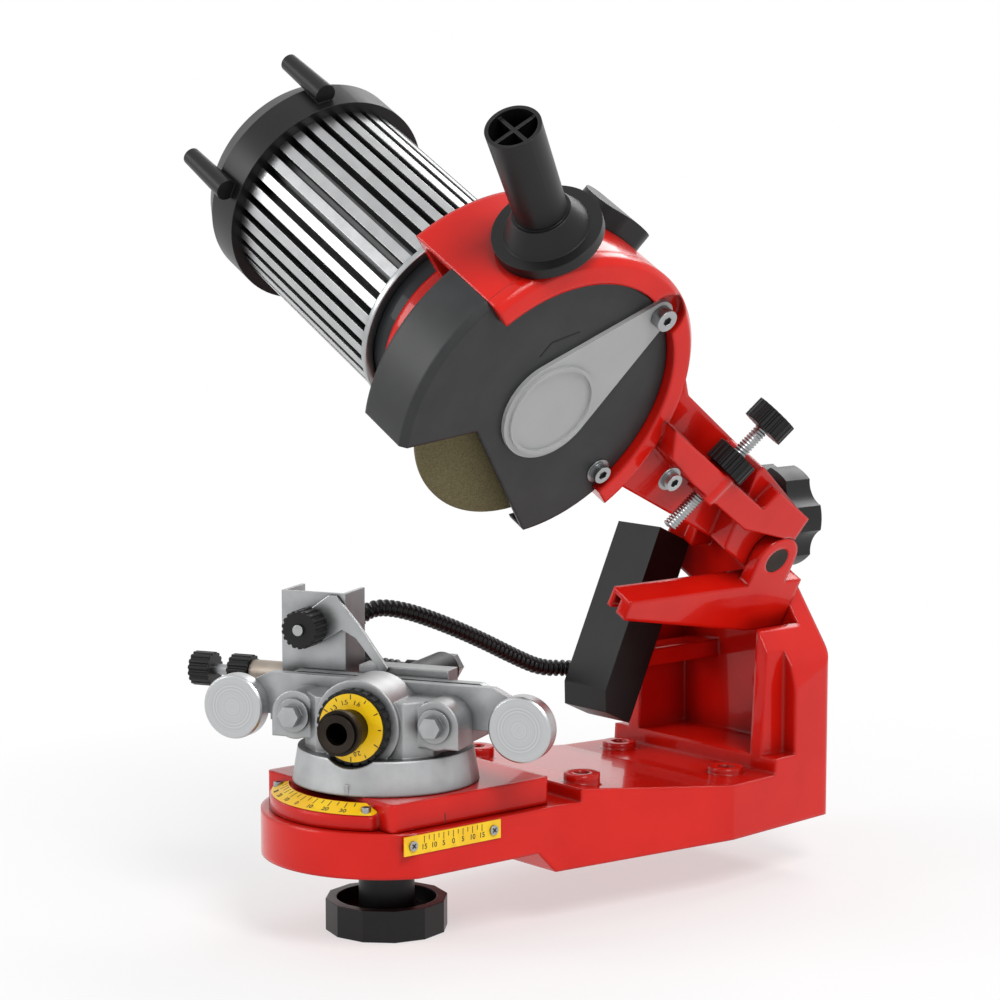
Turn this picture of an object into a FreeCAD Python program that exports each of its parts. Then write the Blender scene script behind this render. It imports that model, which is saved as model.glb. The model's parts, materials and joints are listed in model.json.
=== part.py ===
import FreeCAD, Part
import math
import os
import Sketcher
from FreeCAD import Placement, Rotation, Vector

# Saw chain bench grinder with a hydraulic vise, millimetres and degrees.
# The origin is the centre of the four bench bolts on the bench plane, +Y points to the rear
# column and +X to the operator's right. The pose is the raised head with the vise swung round.

SIZES = {
    # base casting and its column
    "vise_reach": 155.0,
    "tongue_radius": 67.0,
    "tongue_top": 36.0,
    "tongue_floor": 12.0,
    "waist_half": 61.5,
    "waist_back": 88.0,
    "hip_half": 72.0,
    "hip_ahead": 35.0,
    "tail_half": 62.0,
    "tail_ahead": 124.0,
    "deck_front": 43.0,
    "deck_rear": 31.0,
    "wall_ahead": 78.0,
    "flank_half": 56.0,
    "flank_ahead": 90.0,
    "wall_hole": 3.5,
    "wall_hole_side": 15.0,
    "wall_hole_height": 73.0,
    "shoulder_height": 91.0,
    "neck_half": 27.0,
    "neck_height": 140.0,
    "bay_half": 47.0,
    "bay_floor": 40.0,
    "cast_wall": 6.0,
    "cast_round": 7.0,
    "bolt_spacing_x": 90.0,
    "bolt_spacing_y": 110.0,
    "bolt_radius": 4.5,
    "boss_radius": 10.0,
    "boss_rise": 4.0,
    # saddle, its scales and its clamp
    "saddle_half": 55.5,
    "saddle_front": 39.0,
    "saddle_back": 68.0,
    "saddle_top": 51.0,
    "saddle_travel": 15.7,
    "nose_radius": 62.0,
    "nose_top": 48.0,
    "nose_fall": 4.5,
    "nose_half": 44.0,
    "scale_inner": 52.0,
    "scale_thick": 0.8,
    "plate_long": 64.0,
    "plate_high": 10.0,
    "plate_ahead": 4.2,
    "screw_radius": 2.6,
    "clamp_radius": 33.0,
    "clamp_top": 14.0,
    "clamp_high": 17.0,
    "stem_radius": 15.0,
    "stud_radius": 6.0,
    # vise
    "vise_turn": 28.0,
    "foot_radius": 50.0,
    "foot_rise": 18.0,
    "crown_radius": 47.0,
    "neck_radius": 38.0,
    "wing_deep": 22.0,
    "wing_low": 75.0,
    "block_half": 25.0,
    "block_low": 62.0,
    "lug_radius": 13.0,
    "pivot_radius": 12.0,
    "jaw_half": 88.0,
    "jaw_top": 105.0,
    "jaw_deep": 23.0,
    "jaw_thick": 6.0,
    "jaw_gap": 3.6,
    "jaw_stroke": 2.0,
    "body_half": 52.0,
    "body_deep": 34.0,
    "disc_radius": 17.5,
    "disc_thick": 9.0,
    "disc_reach": 83.0,
    "disc_height": 86.0,
    "hex_reach": 40.5,
    "hex_height": 87.0,
    "dial_height": 86.0,
    "dial_radius": 18.0,
    "knurl_radius": 20.0,
    "collar_radius": 12.0,
    "hub_radius": 10.0,
    "hub_bore": 6.0,
    "slave_radius": 10.0,
    "slave_height": 99.0,
    "slave_long": 46.0,
    # chain stop
    "stop_left": 66.0,
    "stop_wide": 38.0,
    "stop_deep": 25.0,
    "stop_top": 147.0,
    "sheet": 2.0,
    "pawl_reach": 48.0,
    "pawl_height": 128.5,
    "pawl_knob_radius": 10.5,
    "adjust_height": 98.0,
    "adjust_radius": 9.5,
    "thread_radius": 3.0,
    # pump box
    "pump_offset": 28.0,
    "pump_wide": 36.0,
    "pump_deep": 26.0,
    "pump_long": 112.0,
    "pump_lean": 25.0,
    "pump_wall": 2.5,
    "pump_seat": 60.0,
    "pump_ahead": 19.0,
    "gusset_low": 84.0,
    "gusset_high": 10.0,
    "gusset_wide": 20.0,
    # head tilt and arm pivot
    "tilt_height": 168.0,
    "tilt_angle": 28.5,
    "tilt_boss": 25.0,
    "tilt_face": 110.5,
    "tilt_plate": 8.0,
    "tilt_knob_radius": 31.0,
    "tilt_knob_thick": 20.0,
    "pin_back": 28.5,
    "pin_rise": 13.4,
    "pin_radius": 8.0,
    "ear_radius": 15.0,
    "ear_thick": 8.0,
    "ear_outer": 58.0,
    "channel_wide": 16.0,
    "channel_long": 105.0,
    "arm_gap": 0.5,
    "tail_long": 37.0,
    "tail_high": 64.0,
    "beam_back": 23.0,
    "beam_lift": 4.6,
    "beam_front": 63.0,
    "beam_drop": 51.0,
    "beam_crown": 39.0,
    "heel_high": 50.0,
    "knee_back": 58.0,
    "knee_high": 88.0,
    "beam_rib": 20.0,
    "ledge_long": 124.0,
    "ledge_high": 97.3,
    "ledge_deep": 18.0,
    "ledge_fall": 0.63,
    "tail_step": 16.0,
    # grinding head
    "wheel_ahead": 32.0,
    "wheel_rise": 121.0,
    "wheel_radius": 72.5,
    "wheel_thick": 4.7,
    "wheel_plane": 29.0,
    "guard_gap": 4.0,
    "plate_inset": 4.0,
    "lip_rise": 6.0,
    "guard_wide": 28.0,
    "guard_wall": 2.5,
    "guard_face": 42.0,
    "housing_radius": 89.0,
    "housing_back": -24.0,
    "housing_wall": 6.0,
    "motor_radius": 55.5,
    "motor_core": 47.0,
    "motor_front": -46.0,
    "motor_long": 124.0,
    "fin_count": 36.0,
    "fin_thick": 5.6,
    "ring_radius": 51.0,
    "cap_radius": 61.5,
    "cap_long": 42.0,
    "spindle_radius": 11.0,
    "switch_wide": 32.0,
    "switch_long": 44.0,
    "switch_high": 11.0,
    "switch_plane": -4.0,
    "handle_radius": 14.0,
    "handle_long": 76.0,
    "handle_plane": 28.0,
    "handle_seat": 6.9,
    "flange_radius": 28.0,
    "depth_plane": 50.0,
    "depth_back": 91.0,
    "depth_rise": 27.2,
    "arm_screw_back": 115.0,
    "arm_screw_rise": 66.6,
    "depth_radius": 4.0,
    "depth_long": 86.0,
    "depth_knob_radius": 12.5,
    "cover_ring": 26.0,
    "cover_thick": 2.5,
    "hose_radius": 4.3,
    "run_gap": 0.3,
    "fit_gap": 0.05,
}

doc = FreeCAD.newDocument("chain_grinder")
sheet = doc.addObject("Spreadsheet::Sheet", "sizes")
for row, (alias, value) in enumerate(SIZES.items(), start=1):
    sheet.set(f"A{row}", alias)
    sheet.set(f"B{row}", str(value))
    sheet.setAlias(f"B{row}", alias)
doc.recompute()


class Size(float):
    """A number that remembers the sheet formula it was worked out from."""

    def __new__(cls, value, formula):
        made = super().__new__(cls, value)
        made.formula = formula
        return made

    def joined(self, other, sign, value, swapped=False):
        mine, its = self.formula, formula_of(other)
        pair = (its, mine) if swapped else (mine, its)
        return Size(value, f"({pair[0]} {sign} {pair[1]})")

    def __add__(self, other):
        return self.joined(other, "+", float(self) + float(other))

    def __radd__(self, other):
        return self.joined(other, "+", float(other) + float(self), True)

    def __sub__(self, other):
        return self.joined(other, "-", float(self) - float(other))

    def __rsub__(self, other):
        return self.joined(other, "-", float(other) - float(self), True)

    def __mul__(self, other):
        return self.joined(other, "*", float(self) * float(other))

    def __rmul__(self, other):
        return self.joined(other, "*", float(other) * float(self), True)

    def __truediv__(self, other):
        return self.joined(other, "/", float(self) / float(other))

    def __neg__(self):
        return Size(-float(self), f"(-1 * {self.formula})")


def formula_of(value):
    return value.formula if isinstance(value, Size) else repr(float(value))


class Sheet:
    """The driving sizes by name."""


dim = Sheet()
for alias, value in SIZES.items():
    setattr(dim, alias, Size(value, "sizes." + alias))

TURN = {
    "x": Rotation(Vector(0, 1, 0), 90),
    "y": Rotation(Vector(1, 0, 0), -90),
    "z": Rotation(),
    "-x": Rotation(Vector(0, 1, 0), -90),
    "-y": Rotation(Vector(1, 0, 0), 90),
}
nodes = []


# Building blocks

def bind(obj, prop, value):
    setattr(obj, prop, float(value))
    if isinstance(value, Size):
        obj.setExpression(prop, value.formula)


def put(obj, at, turn=Rotation()):
    obj.Placement = Placement(Vector(*[float(part) for part in at]), turn)
    for key, value in zip("xyz", at):
        if isinstance(value, Size):
            obj.setExpression("Placement.Base." + key, value.formula)
    return obj


def carry(obj, frame):
    """Moves an object from its own frame into another one."""
    for key in "xyz":
        obj.setExpression("Placement.Base." + key, None)
    obj.Placement = frame.multiply(obj.Placement)
    return obj


def node(obj, label, frame=None):
    """Names a finished sub-part and sets it into its place on the machine."""
    if frame is not None:
        carry(obj, frame)
    obj.Label = label
    nodes.append(obj)
    return obj


def box(size, at):
    """A block centred on at in X and Y that stands on it."""
    made = doc.addObject("Part::Box", "block")
    for prop, value in zip(("Length", "Width", "Height"), size):
        bind(made, prop, value)
    return put(made, (at[0] - size[0] / 2, at[1] - size[1] / 2, at[2]))


def rod(radius, length, at, axis="z"):
    made = doc.addObject("Part::Cylinder", "rod")
    bind(made, "Radius", radius)
    bind(made, "Height", length)
    return put(made, at, TURN[axis])


def taper(first, last, length, at, axis="z"):
    made = doc.addObject("Part::Cone", "taper")
    bind(made, "Radius1", first)
    bind(made, "Radius2", last)
    bind(made, "Height", length)
    return put(made, at, TURN[axis])


def prism(sides, radius, length, at, axis="z"):
    made = doc.addObject("Part::Prism", "prism")
    made.Polygon = int(sides)
    bind(made, "Circumradius", radius)
    bind(made, "Height", length)
    return put(made, at, TURN[axis])


def fuse(*items):
    made = doc.addObject("Part::MultiFuse", "joined")
    made.Shapes = list(items)
    made.Refine = True
    return made


def cut(base, *tools):
    made = doc.addObject("Part::Cut", "cut")
    made.Base = base
    made.Tool = tools[0] if len(tools) == 1 else fuse(*tools)
    return made


def common(*items):
    made = doc.addObject("Part::MultiCommon", "shared")
    made.Shapes = list(items)
    return made


def tube(outer, inner, length, at, axis="z"):
    return cut(rod(outer, length, at, axis), rod(inner, length, at, axis))


def plane_of(body, role):
    return next(item for item in body.Origin.OriginFeatures if item.Role == role)


def outline(body, role, corners):
    """A closed sketch of straight sides whose corners are held by the sheet."""
    sketch = body.newObject("Sketcher::SketchObject", "outline")
    sketch.AttachmentSupport = (plane_of(body, role), [""])
    sketch.MapMode = "FlatFace"
    points = [Vector(float(a), float(b), 0) for a, b in corners]
    count = len(points)
    for index in range(count):
        sketch.addGeometry(Part.LineSegment(points[index], points[(index + 1) % count]), False)
    rules = []
    for index in range(count):
        rules.append(Sketcher.Constraint("Coincident", index, 2, (index + 1) % count, 1))
    for index, corner in enumerate(corners):
        for kind, axis, value in (("DistanceX", -2, corner[0]), ("DistanceY", -1, corner[1])):
            if abs(value) < 1e-9:
                rules.append(Sketcher.Constraint("PointOnObject", index, 1, axis))
            else:
                rules.append(Sketcher.Constraint(kind, -1, 1, index, 1, float(value)))
    sketch.addConstraint(rules)
    for number, rule in enumerate(rules[count:]):
        value = corners[number // 2][number % 2]
        if isinstance(value, Size) and abs(value) >= 1e-9:
            sketch.setExpression(f"Constraints[{count + number}]", value.formula)
    return sketch


def pad(role, corners, length, at=(0, 0, 0), softened=None, keep=None):
    """A padded outline, with its long edges rounded when a radius is given."""
    body = doc.addObject("PartDesign::Body", "pad")
    sketch = outline(body, role, corners)
    made = body.newObject("PartDesign::Pad", "length")
    made.Profile = sketch
    bind(made, "Length", length)
    if softened is not None:
        doc.recompute()
        normal = made.Shape.Faces[-1].normalAt(0, 0)
        names = []
        for number, edge in enumerate(made.Shape.Edges, start=1):
            along = (edge.Vertexes[-1].Point - edge.Vertexes[0].Point).normalize()
            if abs(along.dot(normal)) > 0.99 and (keep is None or keep(edge.CenterOfMass)):
                names.append(f"Edge{number}")
        rounded = body.newObject("PartDesign::Fillet", "round")
        rounded.Base = (made, names)
        bind(rounded, "Radius", softened)
    return put(body, at)


def turned(profile, at=(0, 0, 0), axis="z"):
    """A full turn of a (radius, height) outline about the given axis."""
    body = doc.addObject("PartDesign::Body", "turned")
    sketch = outline(body, "XZ_Plane", profile)
    made = body.newObject("PartDesign::Revolution", "turn")
    made.Profile = sketch
    made.ReferenceAxis = (sketch, ["V_Axis"])
    made.Angle = 360.0
    return put(body, at, TURN[axis])


def around(count, radius, first=0.0):
    """Points evenly spaced round a circle, as (x, y, degrees)."""
    for step in range(int(count)):
        angle = first + step * 360.0 / count
        yield radius * math.cos(math.radians(angle)), radius * math.sin(math.radians(angle)), angle


def fluted(radius, length, count, flute, at, axis="z", out=0.0):
    """A round knob with grip flutes along its rim, shallower when they stand further out."""
    flutes = [rod(flute, length, (x, y, 0)) for x, y, angle in around(count, radius + out)]
    return put(cut(rod(radius, length, (0, 0, 0)), *flutes), at, TURN[axis])


# Frames of the moving groups

saddle_frame = Placement(Vector(0, -dim.vise_reach, 0), Rotation())
vise_frame = Placement(Vector(0, -dim.vise_reach, 0), Rotation(Vector(0, 0, 1), dim.vise_turn))
head_frame = Placement(
    Vector(0, -dim.vise_reach, dim.tilt_height), Rotation(Vector(0, 1, 0), dim.tilt_angle))
pump_frame = Placement(
    Vector(-dim.pump_offset, dim.pump_ahead, dim.pump_seat), Rotation(Vector(1, 0, 0), -dim.pump_lean))


# Sizes that follow from the sheet

hair = dim.sheet / 2
jaw_front = dim.jaw_gap / 2 + dim.jaw_thick
jaw_back = jaw_front
dial_face = dim.body_deep + dim.cast_wall / 2
piston_radius = dim.slave_radius / 2
slave_side = dim.cast_wall
elbow_radius = dim.hose_radius + hair
elbow_long = 2 * dim.hose_radius
elbow_ahead = dim.jaw_deep + dim.slave_long - 2 * dim.cast_wall
stop_front = jaw_back + dim.jaw_stroke
adjust_ahead = stop_front + dim.stop_deep / 2
adjust_travel = dim.cast_wall
bush_long = 4 * dim.cast_wall
pump_floor = 5 * dim.cast_wall
head_face = dim.tilt_face + dim.vise_reach
pin_ahead = head_face - dim.pin_back
channel_tip = pin_ahead - dim.channel_long
guard_radius = dim.housing_radius - dim.housing_wall - dim.guard_gap
plate_radius = guard_radius - dim.plate_inset
channel_top = -dim.cast_wall / 2
web_low = -6 * dim.cast_wall
arm_wide = dim.ear_outer - 2 * dim.ear_thick
beam_side = dim.depth_plane - dim.depth_knob_radius - dim.sheet
flange_back = dim.guard_face - dim.guard_wall - dim.cast_wall
notch_start, notch_end = 189.0, 311.0
notch_inset, notch_drop = 42.0, 12.0
lug_angles = (107.0, 176.0, 287.0, 356.0)
switch_angle = 62.0
BOLT_ANGLE, SCREW_ANGLE = 46.3, -39.5
handle_lean, handle_angle = 38.5, 106.35
HANDLE_TURN = Rotation(Vector(1, 0, 0), handle_lean)
depth_lean = -35.2
DEPTH_TURN = Rotation(Vector(1, 0, 0), depth_lean)
depth_tip = (pin_ahead - dim.depth_back, dim.pin_rise + dim.depth_rise)
arm_screw = (pin_ahead - dim.arm_screw_back, dim.pin_rise + dim.arm_screw_rise)
screw_boss_start, screw_boss_long = 24.0, 19.0
hose_port = 22.0
BEND_SHARE = 0.45
HOSE_RIBS = 48
RIB_ROOT = 0.85
RIB_STEPS = ((0, 1), (0.4, 1), (0.55, RIB_ROOT), (0.85, RIB_ROOT))
HOSE_BORE = 0.55
HOSE_LEAD = 2.8
HEX = 6
CLAMP_SIDES = 12
TILT_LOBES = 6
LOBE_DEEP = 4.0
DIAL_FLUTES, PAWL_FLUTES, ADJUST_FLUTES, DEPTH_FLUTES = 24, 18, 16, 20
HOSE_BENDS = [
    (-62.0, -122.0, 101.0), (-71.0, -125.0, 110.0), (-72.0, -122.0, 122.0), (-69.0, -111.0, 130.0),
    (-66.0, -92.0, 127.0), (-66.0, -64.0, 116.5), (-66.0, -34.0, 103.0), (-67.0, -6.0, 89.0),
    (-66.0, 12.0, 81.0)]


def off_axis(radius, angle):
    """A point of the head's side view, by its distance and direction from the spindle."""
    turn = math.radians(angle)
    return dim.wheel_ahead + radius * math.cos(turn), dim.wheel_rise + radius * math.sin(turn)


cover_bolt = off_axis(guard_radius - dim.cast_wall + hair, BOLT_ANGLE)
guard_screw = off_axis(guard_radius - dim.cast_wall * 2 + hair, SCREW_ANGLE)


def handle_foot(along):
    shift = HANDLE_TURN.multVec(Vector(0, 0, along))
    ahead, rise = off_axis(dim.housing_radius + dim.handle_seat, handle_angle)
    return (dim.handle_plane, ahead + shift.y, rise + shift.z)


def depth_point(along):
    shift = DEPTH_TURN.multVec(Vector(0, 0, along))
    return (dim.depth_plane, depth_tip[0] + shift.y, depth_tip[1] + shift.z)


# Base casting

def base_casting():
    tall = dim.tilt_height + dim.tilt_boss
    plan = pad("XY_Plane", [
        (-dim.waist_half, -dim.vise_reach), (dim.waist_half, -dim.vise_reach),
        (dim.waist_half, -dim.waist_back), (dim.hip_half, dim.hip_ahead),
        (dim.tail_half, dim.tail_ahead), (-dim.tail_half, dim.tail_ahead),
        (-dim.hip_half, dim.hip_ahead), (-dim.waist_half, -dim.waist_back)],
        tall, softened=dim.cast_round, keep=lambda middle: middle.y > -dim.vise_reach + hair)
    nose = common(rod(dim.tongue_radius, tall, (0, -dim.vise_reach, 0)),
                  box((2 * dim.waist_half, 2 * dim.tongue_radius, tall), (0, -dim.vise_reach, 0)))
    plan = fuse(plan, nose)
    step = dim.saddle_back - dim.vise_reach + dim.saddle_travel + dim.run_gap
    front = -dim.vise_reach - dim.tongue_radius - dim.cast_wall
    wide = 2 * dim.hip_half + dim.cast_wall
    side = pad("YZ_Plane", [
        (front, dim.tongue_floor), (-dim.waist_back - dim.tongue_floor, dim.tongue_floor),
        (-dim.waist_back, 0), (dim.tail_ahead + dim.cast_wall, 0),
        (dim.tail_ahead, tall), (dim.tilt_face, tall), (dim.tilt_face, dim.neck_height),
        (dim.wall_ahead, dim.shoulder_height + dim.bay_floor),
        (dim.wall_ahead - dim.cast_wall, dim.deck_rear),
        (dim.hip_ahead, dim.deck_rear), (step, dim.deck_front), (step, dim.tongue_top),
        (front, dim.tongue_top)],
        wide, at=(-wide / 2, 0, 0))
    face = pad("XZ_Plane", [
        (-wide / 2, 0), (wide / 2, 0), (wide / 2, dim.bay_floor + dim.cast_wall),
        (dim.tail_half, dim.shoulder_height), (dim.neck_half, dim.neck_height),
        (dim.neck_half, dim.tilt_height), (-dim.neck_half, dim.tilt_height),
        (-dim.neck_half, dim.neck_height), (-dim.tail_half, dim.shoulder_height),
        (-wide / 2, dim.bay_floor + dim.cast_wall)],
        dim.tail_ahead + dim.vise_reach + 2 * dim.tongue_radius, at=(0, dim.tail_ahead + dim.cast_wall, 0),
        softened=dim.cast_round, keep=lambda middle: middle.z > dim.bay_floor + dim.cast_wall + hair)
    solid = common(plan, side, face)
    bay_deep = dim.tilt_face - dim.wall_ahead + dim.hip_ahead
    bay = box((2 * dim.bay_half, bay_deep, dim.tilt_height),
              (0, dim.tilt_face - bay_deep / 2, dim.bay_floor))
    boss = rod(dim.tilt_boss, dim.tail_ahead - dim.tilt_face, (0, dim.tilt_face, dim.tilt_height), "y")
    cavity_long = dim.tail_ahead + dim.waist_back - 3 * dim.cast_wall
    cavity = box((2 * (dim.waist_half - dim.cast_wall), cavity_long, dim.deck_rear - dim.cast_wall),
                 (0, dim.tail_ahead - dim.cast_wall - cavity_long / 2, 0))
    posts = []
    holes = []
    for x in (-dim.bolt_spacing_x / 2, dim.bolt_spacing_x / 2):
        for y, deck in ((-dim.bolt_spacing_y / 2, dim.deck_front), (dim.bolt_spacing_y / 2, dim.deck_rear)):
            posts.append(rod(dim.boss_radius, deck + dim.boss_rise, (x, y, 0)))
            holes.append(rod(dim.bolt_radius, deck + dim.bay_floor, (x, y, 0)))
    slot_half = dim.stud_radius + hair
    slot = box((2 * slot_half, 2 * (slot_half + dim.saddle_travel), dim.tongue_top),
               (0, -dim.vise_reach, 0))
    stud_hole = rod(dim.stud_radius + dim.fit_gap, dim.tail_ahead, (0, 0, dim.tilt_height), "y")
    shell = cut(fuse(solid, boss), bay, cavity)
    gusset_long = dim.tilt_face - dim.pump_ahead
    gusset = box((dim.gusset_wide, gusset_long, dim.gusset_high),
                 (-dim.pump_offset, dim.tilt_face - gusset_long / 2 + hair, dim.gusset_low))
    seat = carry(pump_outside(), pump_frame)
    seat_front = carry(box((2 * dim.pump_wide, dim.pump_long, dim.pump_long),
                           (0, -dim.pump_long / 2, 0)), pump_frame)
    flanks = []
    flank_deep = dim.flank_ahead - dim.hip_ahead
    for side in (-1, 1):
        flanks.append(box((dim.hip_half, flank_deep, tall),
                          (side * (dim.flank_half + dim.hip_half / 2), dim.flank_ahead - flank_deep / 2,
                           dim.bay_floor)))
    wall_hole = rod(dim.wall_hole, dim.cast_wall,
                    (dim.wall_hole_side, dim.tilt_face, dim.wall_hole_height), "y")
    body = fuse(cut(shell, *flanks), cut(gusset, seat, seat_front), *posts)
    node(cut(body, slot, stud_hole, wall_hole, *holes), "base_casting")


def side_scale():
    """Yellow degree plate on the operator's side of the tongue, with its two screws."""
    middle = -dim.vise_reach - dim.plate_ahead
    low = dim.tongue_top - dim.plate_high - dim.scale_thick
    node(box((dim.scale_thick, dim.plate_long, dim.plate_high),
             (dim.waist_half + dim.scale_thick / 2, middle, low)), "side_scale")
    reach = dim.plate_long / 2 - 2 * dim.screw_radius
    heads = [rod(dim.screw_radius, dim.screw_radius / 2,
                 (dim.waist_half + dim.scale_thick, middle + side * reach, low + dim.plate_high / 2), "x")
             for side in (-1, 1)]
    node(fuse(*heads), "side_scale_screws")


def saddle():
    """Sliding block that carries the vise, with the round nose of the swivel scale."""
    floor = dim.tongue_top + dim.run_gap
    rise = dim.saddle_top - floor
    block = pad("XY_Plane", [
        (-dim.saddle_half, -dim.saddle_front), (dim.saddle_half, -dim.saddle_front),
        (dim.saddle_half, dim.saddle_back), (-dim.saddle_half, dim.saddle_back)],
        rise, at=(0, 0, floor), softened=dim.cast_round / 2)
    edge = dim.nose_top - dim.nose_fall
    nose = common(fuse(rod(dim.nose_radius, edge - floor, (0, 0, floor)),
                       taper(dim.nose_radius, dim.scale_inner, dim.nose_fall, (0, 0, edge))),
                  box((2 * dim.nose_half, 2 * dim.nose_radius, dim.nose_top), (0, 0, floor)))
    bore = rod(dim.pivot_radius + dim.fit_gap, dim.saddle_top, (0, 0, 0))
    drop = dim.saddle_front + 1.5 * dim.screw_radius
    reach = dim.nose_half - 2 * dim.screw_radius
    heads = [rod(dim.screw_radius, dim.nose_top - edge, (side * reach, -drop, edge)) for side in (-1, 1)]
    node(cut(fuse(block, nose), bore, *heads), "saddle", saddle_frame)
    front_deep = dim.nose_radius - dim.saddle_front
    front = box((2 * (dim.nose_half - dim.scale_thick), front_deep, dim.saddle_top),
                (0, -dim.saddle_front - front_deep / 2 - dim.run_gap, 0))
    band = tube(dim.nose_radius - dim.scale_thick, dim.scale_inner, dim.saddle_top, (0, 0, 0))
    face = cut(taper(dim.nose_radius, dim.scale_inner, dim.nose_fall, (0, 0, edge + dim.scale_thick)),
               taper(dim.nose_radius, dim.scale_inner, dim.nose_fall, (0, 0, edge)), *heads)
    node(common(face, band, front), "swivel_scale", saddle_frame)
    node(fuse(*heads), "swivel_scale_screws", saddle_frame)


def clamp():
    """Clamp knob under the tongue and the stud that it pulls."""
    low = -dim.clamp_top - dim.clamp_high
    grip = prism(CLAMP_SIDES, dim.clamp_radius, dim.clamp_high, (0, 0, low))
    dish = rod(dim.clamp_radius - dim.cast_wall, dim.clamp_high / 2,
               (0, 0, -dim.clamp_top - dim.clamp_high / 2))
    stem = rod(dim.stem_radius, dim.tongue_floor - dim.run_gap - low, (0, 0, low))
    hole = rod(dim.stud_radius, dim.saddle_top, (0, 0, low + dim.cast_wall))
    node(cut(fuse(cut(grip, dish), stem), hole), "clamp_knob", saddle_frame)
    top = dim.saddle_top + dim.foot_rise / 2
    stud = rod(dim.stud_radius, top - low - dim.cast_wall, (0, 0, low + dim.cast_wall))
    node(stud, "clamp_stud", saddle_frame)


# Vise: the front faces -Y in its own frame, before the swivel

def vise_body():
    floor = dim.saddle_top + dim.run_gap
    shelf = dim.jaw_top - dim.jaw_deep
    foot = taper(dim.foot_radius, dim.crown_radius, dim.foot_rise, (0, 0, floor))
    pivot = rod(dim.pivot_radius, floor - dim.tongue_top - hair, (0, 0, dim.tongue_top + hair))
    neck = rod(dim.neck_radius, shelf - floor - dim.foot_rise / 2, (0, 0, floor + dim.foot_rise / 2))
    spine = box((2 * dim.body_half, dim.wing_deep + dim.jaw_deep, shelf - dim.wing_low),
                (0, -(dim.wing_deep - dim.jaw_deep) / 2, dim.wing_low))
    crown = dim.jaw_top - dim.cast_wall
    wings = pad("XZ_Plane", [
        (-dim.body_half, dim.wing_low), (dim.body_half, dim.wing_low), (dim.body_half, crown),
        (-dim.body_half, crown)],
        dim.wing_deep - jaw_front, at=(0, -jaw_front, 0), softened=2 * dim.cast_wall,
        keep=lambda middle: middle.z > shelf)
    slant = dim.body_deep - dim.wing_deep
    block = pad("XY_Plane", [
        (-dim.block_half, -dim.body_deep), (dim.block_half, -dim.body_deep),
        (dim.block_half + slant, -dim.wing_deep), (dim.block_half + slant, -jaw_front),
        (-dim.block_half - slant, -jaw_front), (-dim.block_half - slant, -dim.wing_deep)],
        crown - dim.block_low, at=(0, 0, dim.block_low))
    lugs = []
    lug_front = dim.wing_deep + dim.cast_wall
    for side in (-1, 1):
        lugs.append(rod(dim.lug_radius, lug_front - jaw_front,
                        (side * dim.hex_reach, -jaw_front, dim.hex_height), "-y"))
        lugs.append(box((2 * dim.lug_radius, lug_front - jaw_front, dim.hex_height - dim.wing_low),
                        (side * dim.hex_reach, -(lug_front + jaw_front) / 2, dim.wing_low)))
    boss = rod(dim.dial_radius + dim.cast_wall, dial_face - jaw_front,
               (0, -jaw_front, dim.dial_height), "-y")
    rear_thick = dim.jaw_deep - jaw_back - dim.jaw_stroke
    rear = box((dim.body_half, rear_thick, dim.slave_radius + dim.slave_height - shelf),
               (slave_side, dim.jaw_deep - rear_thick / 2, shelf))
    stop_middle = dim.stop_left - dim.stop_wide / 2
    ledge = box((2 * stop_middle + dim.cast_wall, dim.stop_deep, shelf - dim.wing_low),
                (-stop_middle / 2, stop_front + dim.stop_deep / 2, dim.wing_low))
    pointer = box((dim.sheet, dim.foot_radius - dim.crown_radius, dim.foot_rise / 3),
                  (0, -(dim.foot_radius + dim.crown_radius) / 2, floor))
    stud_hole = rod(dim.stud_radius + dim.fit_gap, dim.foot_rise + dim.saddle_top, (0, 0, 0))
    hub_hole = rod(dim.hub_radius + dim.fit_gap, dim.body_deep,
                   (0, -jaw_front - dim.cast_wall, dim.dial_height), "-y")
    piston_hole = rod(piston_radius + dim.fit_gap, dim.jaw_deep,
                      (slave_side, jaw_back, dim.slave_height), "y")
    dial_room = rod(dim.knurl_radius + hair, dim.body_deep, (0, -dial_face, dim.dial_height), "-y")
    whole = fuse(foot, pivot, neck, spine, wings, block, boss, rear, ledge, pointer, *lugs)
    node(cut(whole, stud_hole, hub_hole, piston_hole, dial_room), "vise_body", vise_frame)


def jaw(label, half, start, extra=None):
    shelf = dim.jaw_top - dim.jaw_deep + dim.run_gap
    slope = dim.jaw_deep / 2
    plate = pad("XZ_Plane", [
        (-half, shelf), (half, shelf), (half, dim.jaw_top - slope), (half - 2 * slope, dim.jaw_top),
        (-half + 2 * slope, dim.jaw_top), (-half, dim.jaw_top - slope)],
        dim.jaw_thick, at=(0, start, 0), softened=dim.sheet)
    node(plate if extra is None else fuse(plate, extra), label, vise_frame)


def vise_pieces():
    jaw("front_jaw", dim.jaw_half, -dim.jaw_gap / 2)
    piston = rod(piston_radius, dim.jaw_deep - jaw_back, (slave_side, jaw_back, dim.slave_height), "y")
    jaw("rear_jaw", dim.jaw_half - dim.jaw_deep / 2, jaw_back, piston)
    discs = []
    bolts = []
    for side in (-1, 1):
        discs.append(turned([
            (0, 0), (dim.disc_radius, 0), (dim.disc_radius, dim.disc_thick - hair),
            (dim.disc_radius - hair, dim.disc_thick), (0, dim.disc_thick)],
            (side * dim.disc_reach, -jaw_front, dim.disc_height), "-y"))
        place = (side * dim.hex_reach, -dim.wing_deep - dim.cast_wall, dim.hex_height)
        bolts.append(fuse(rod(1.5 * dim.cast_wall, dim.sheet, place, "-y"),
                          prism(HEX, dim.cast_wall, dim.cast_wall + dim.sheet, place, "-y")))
    node(fuse(*discs), "rail_discs", vise_frame)
    node(fuse(*bolts), "jaw_bolts", vise_frame)


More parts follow.
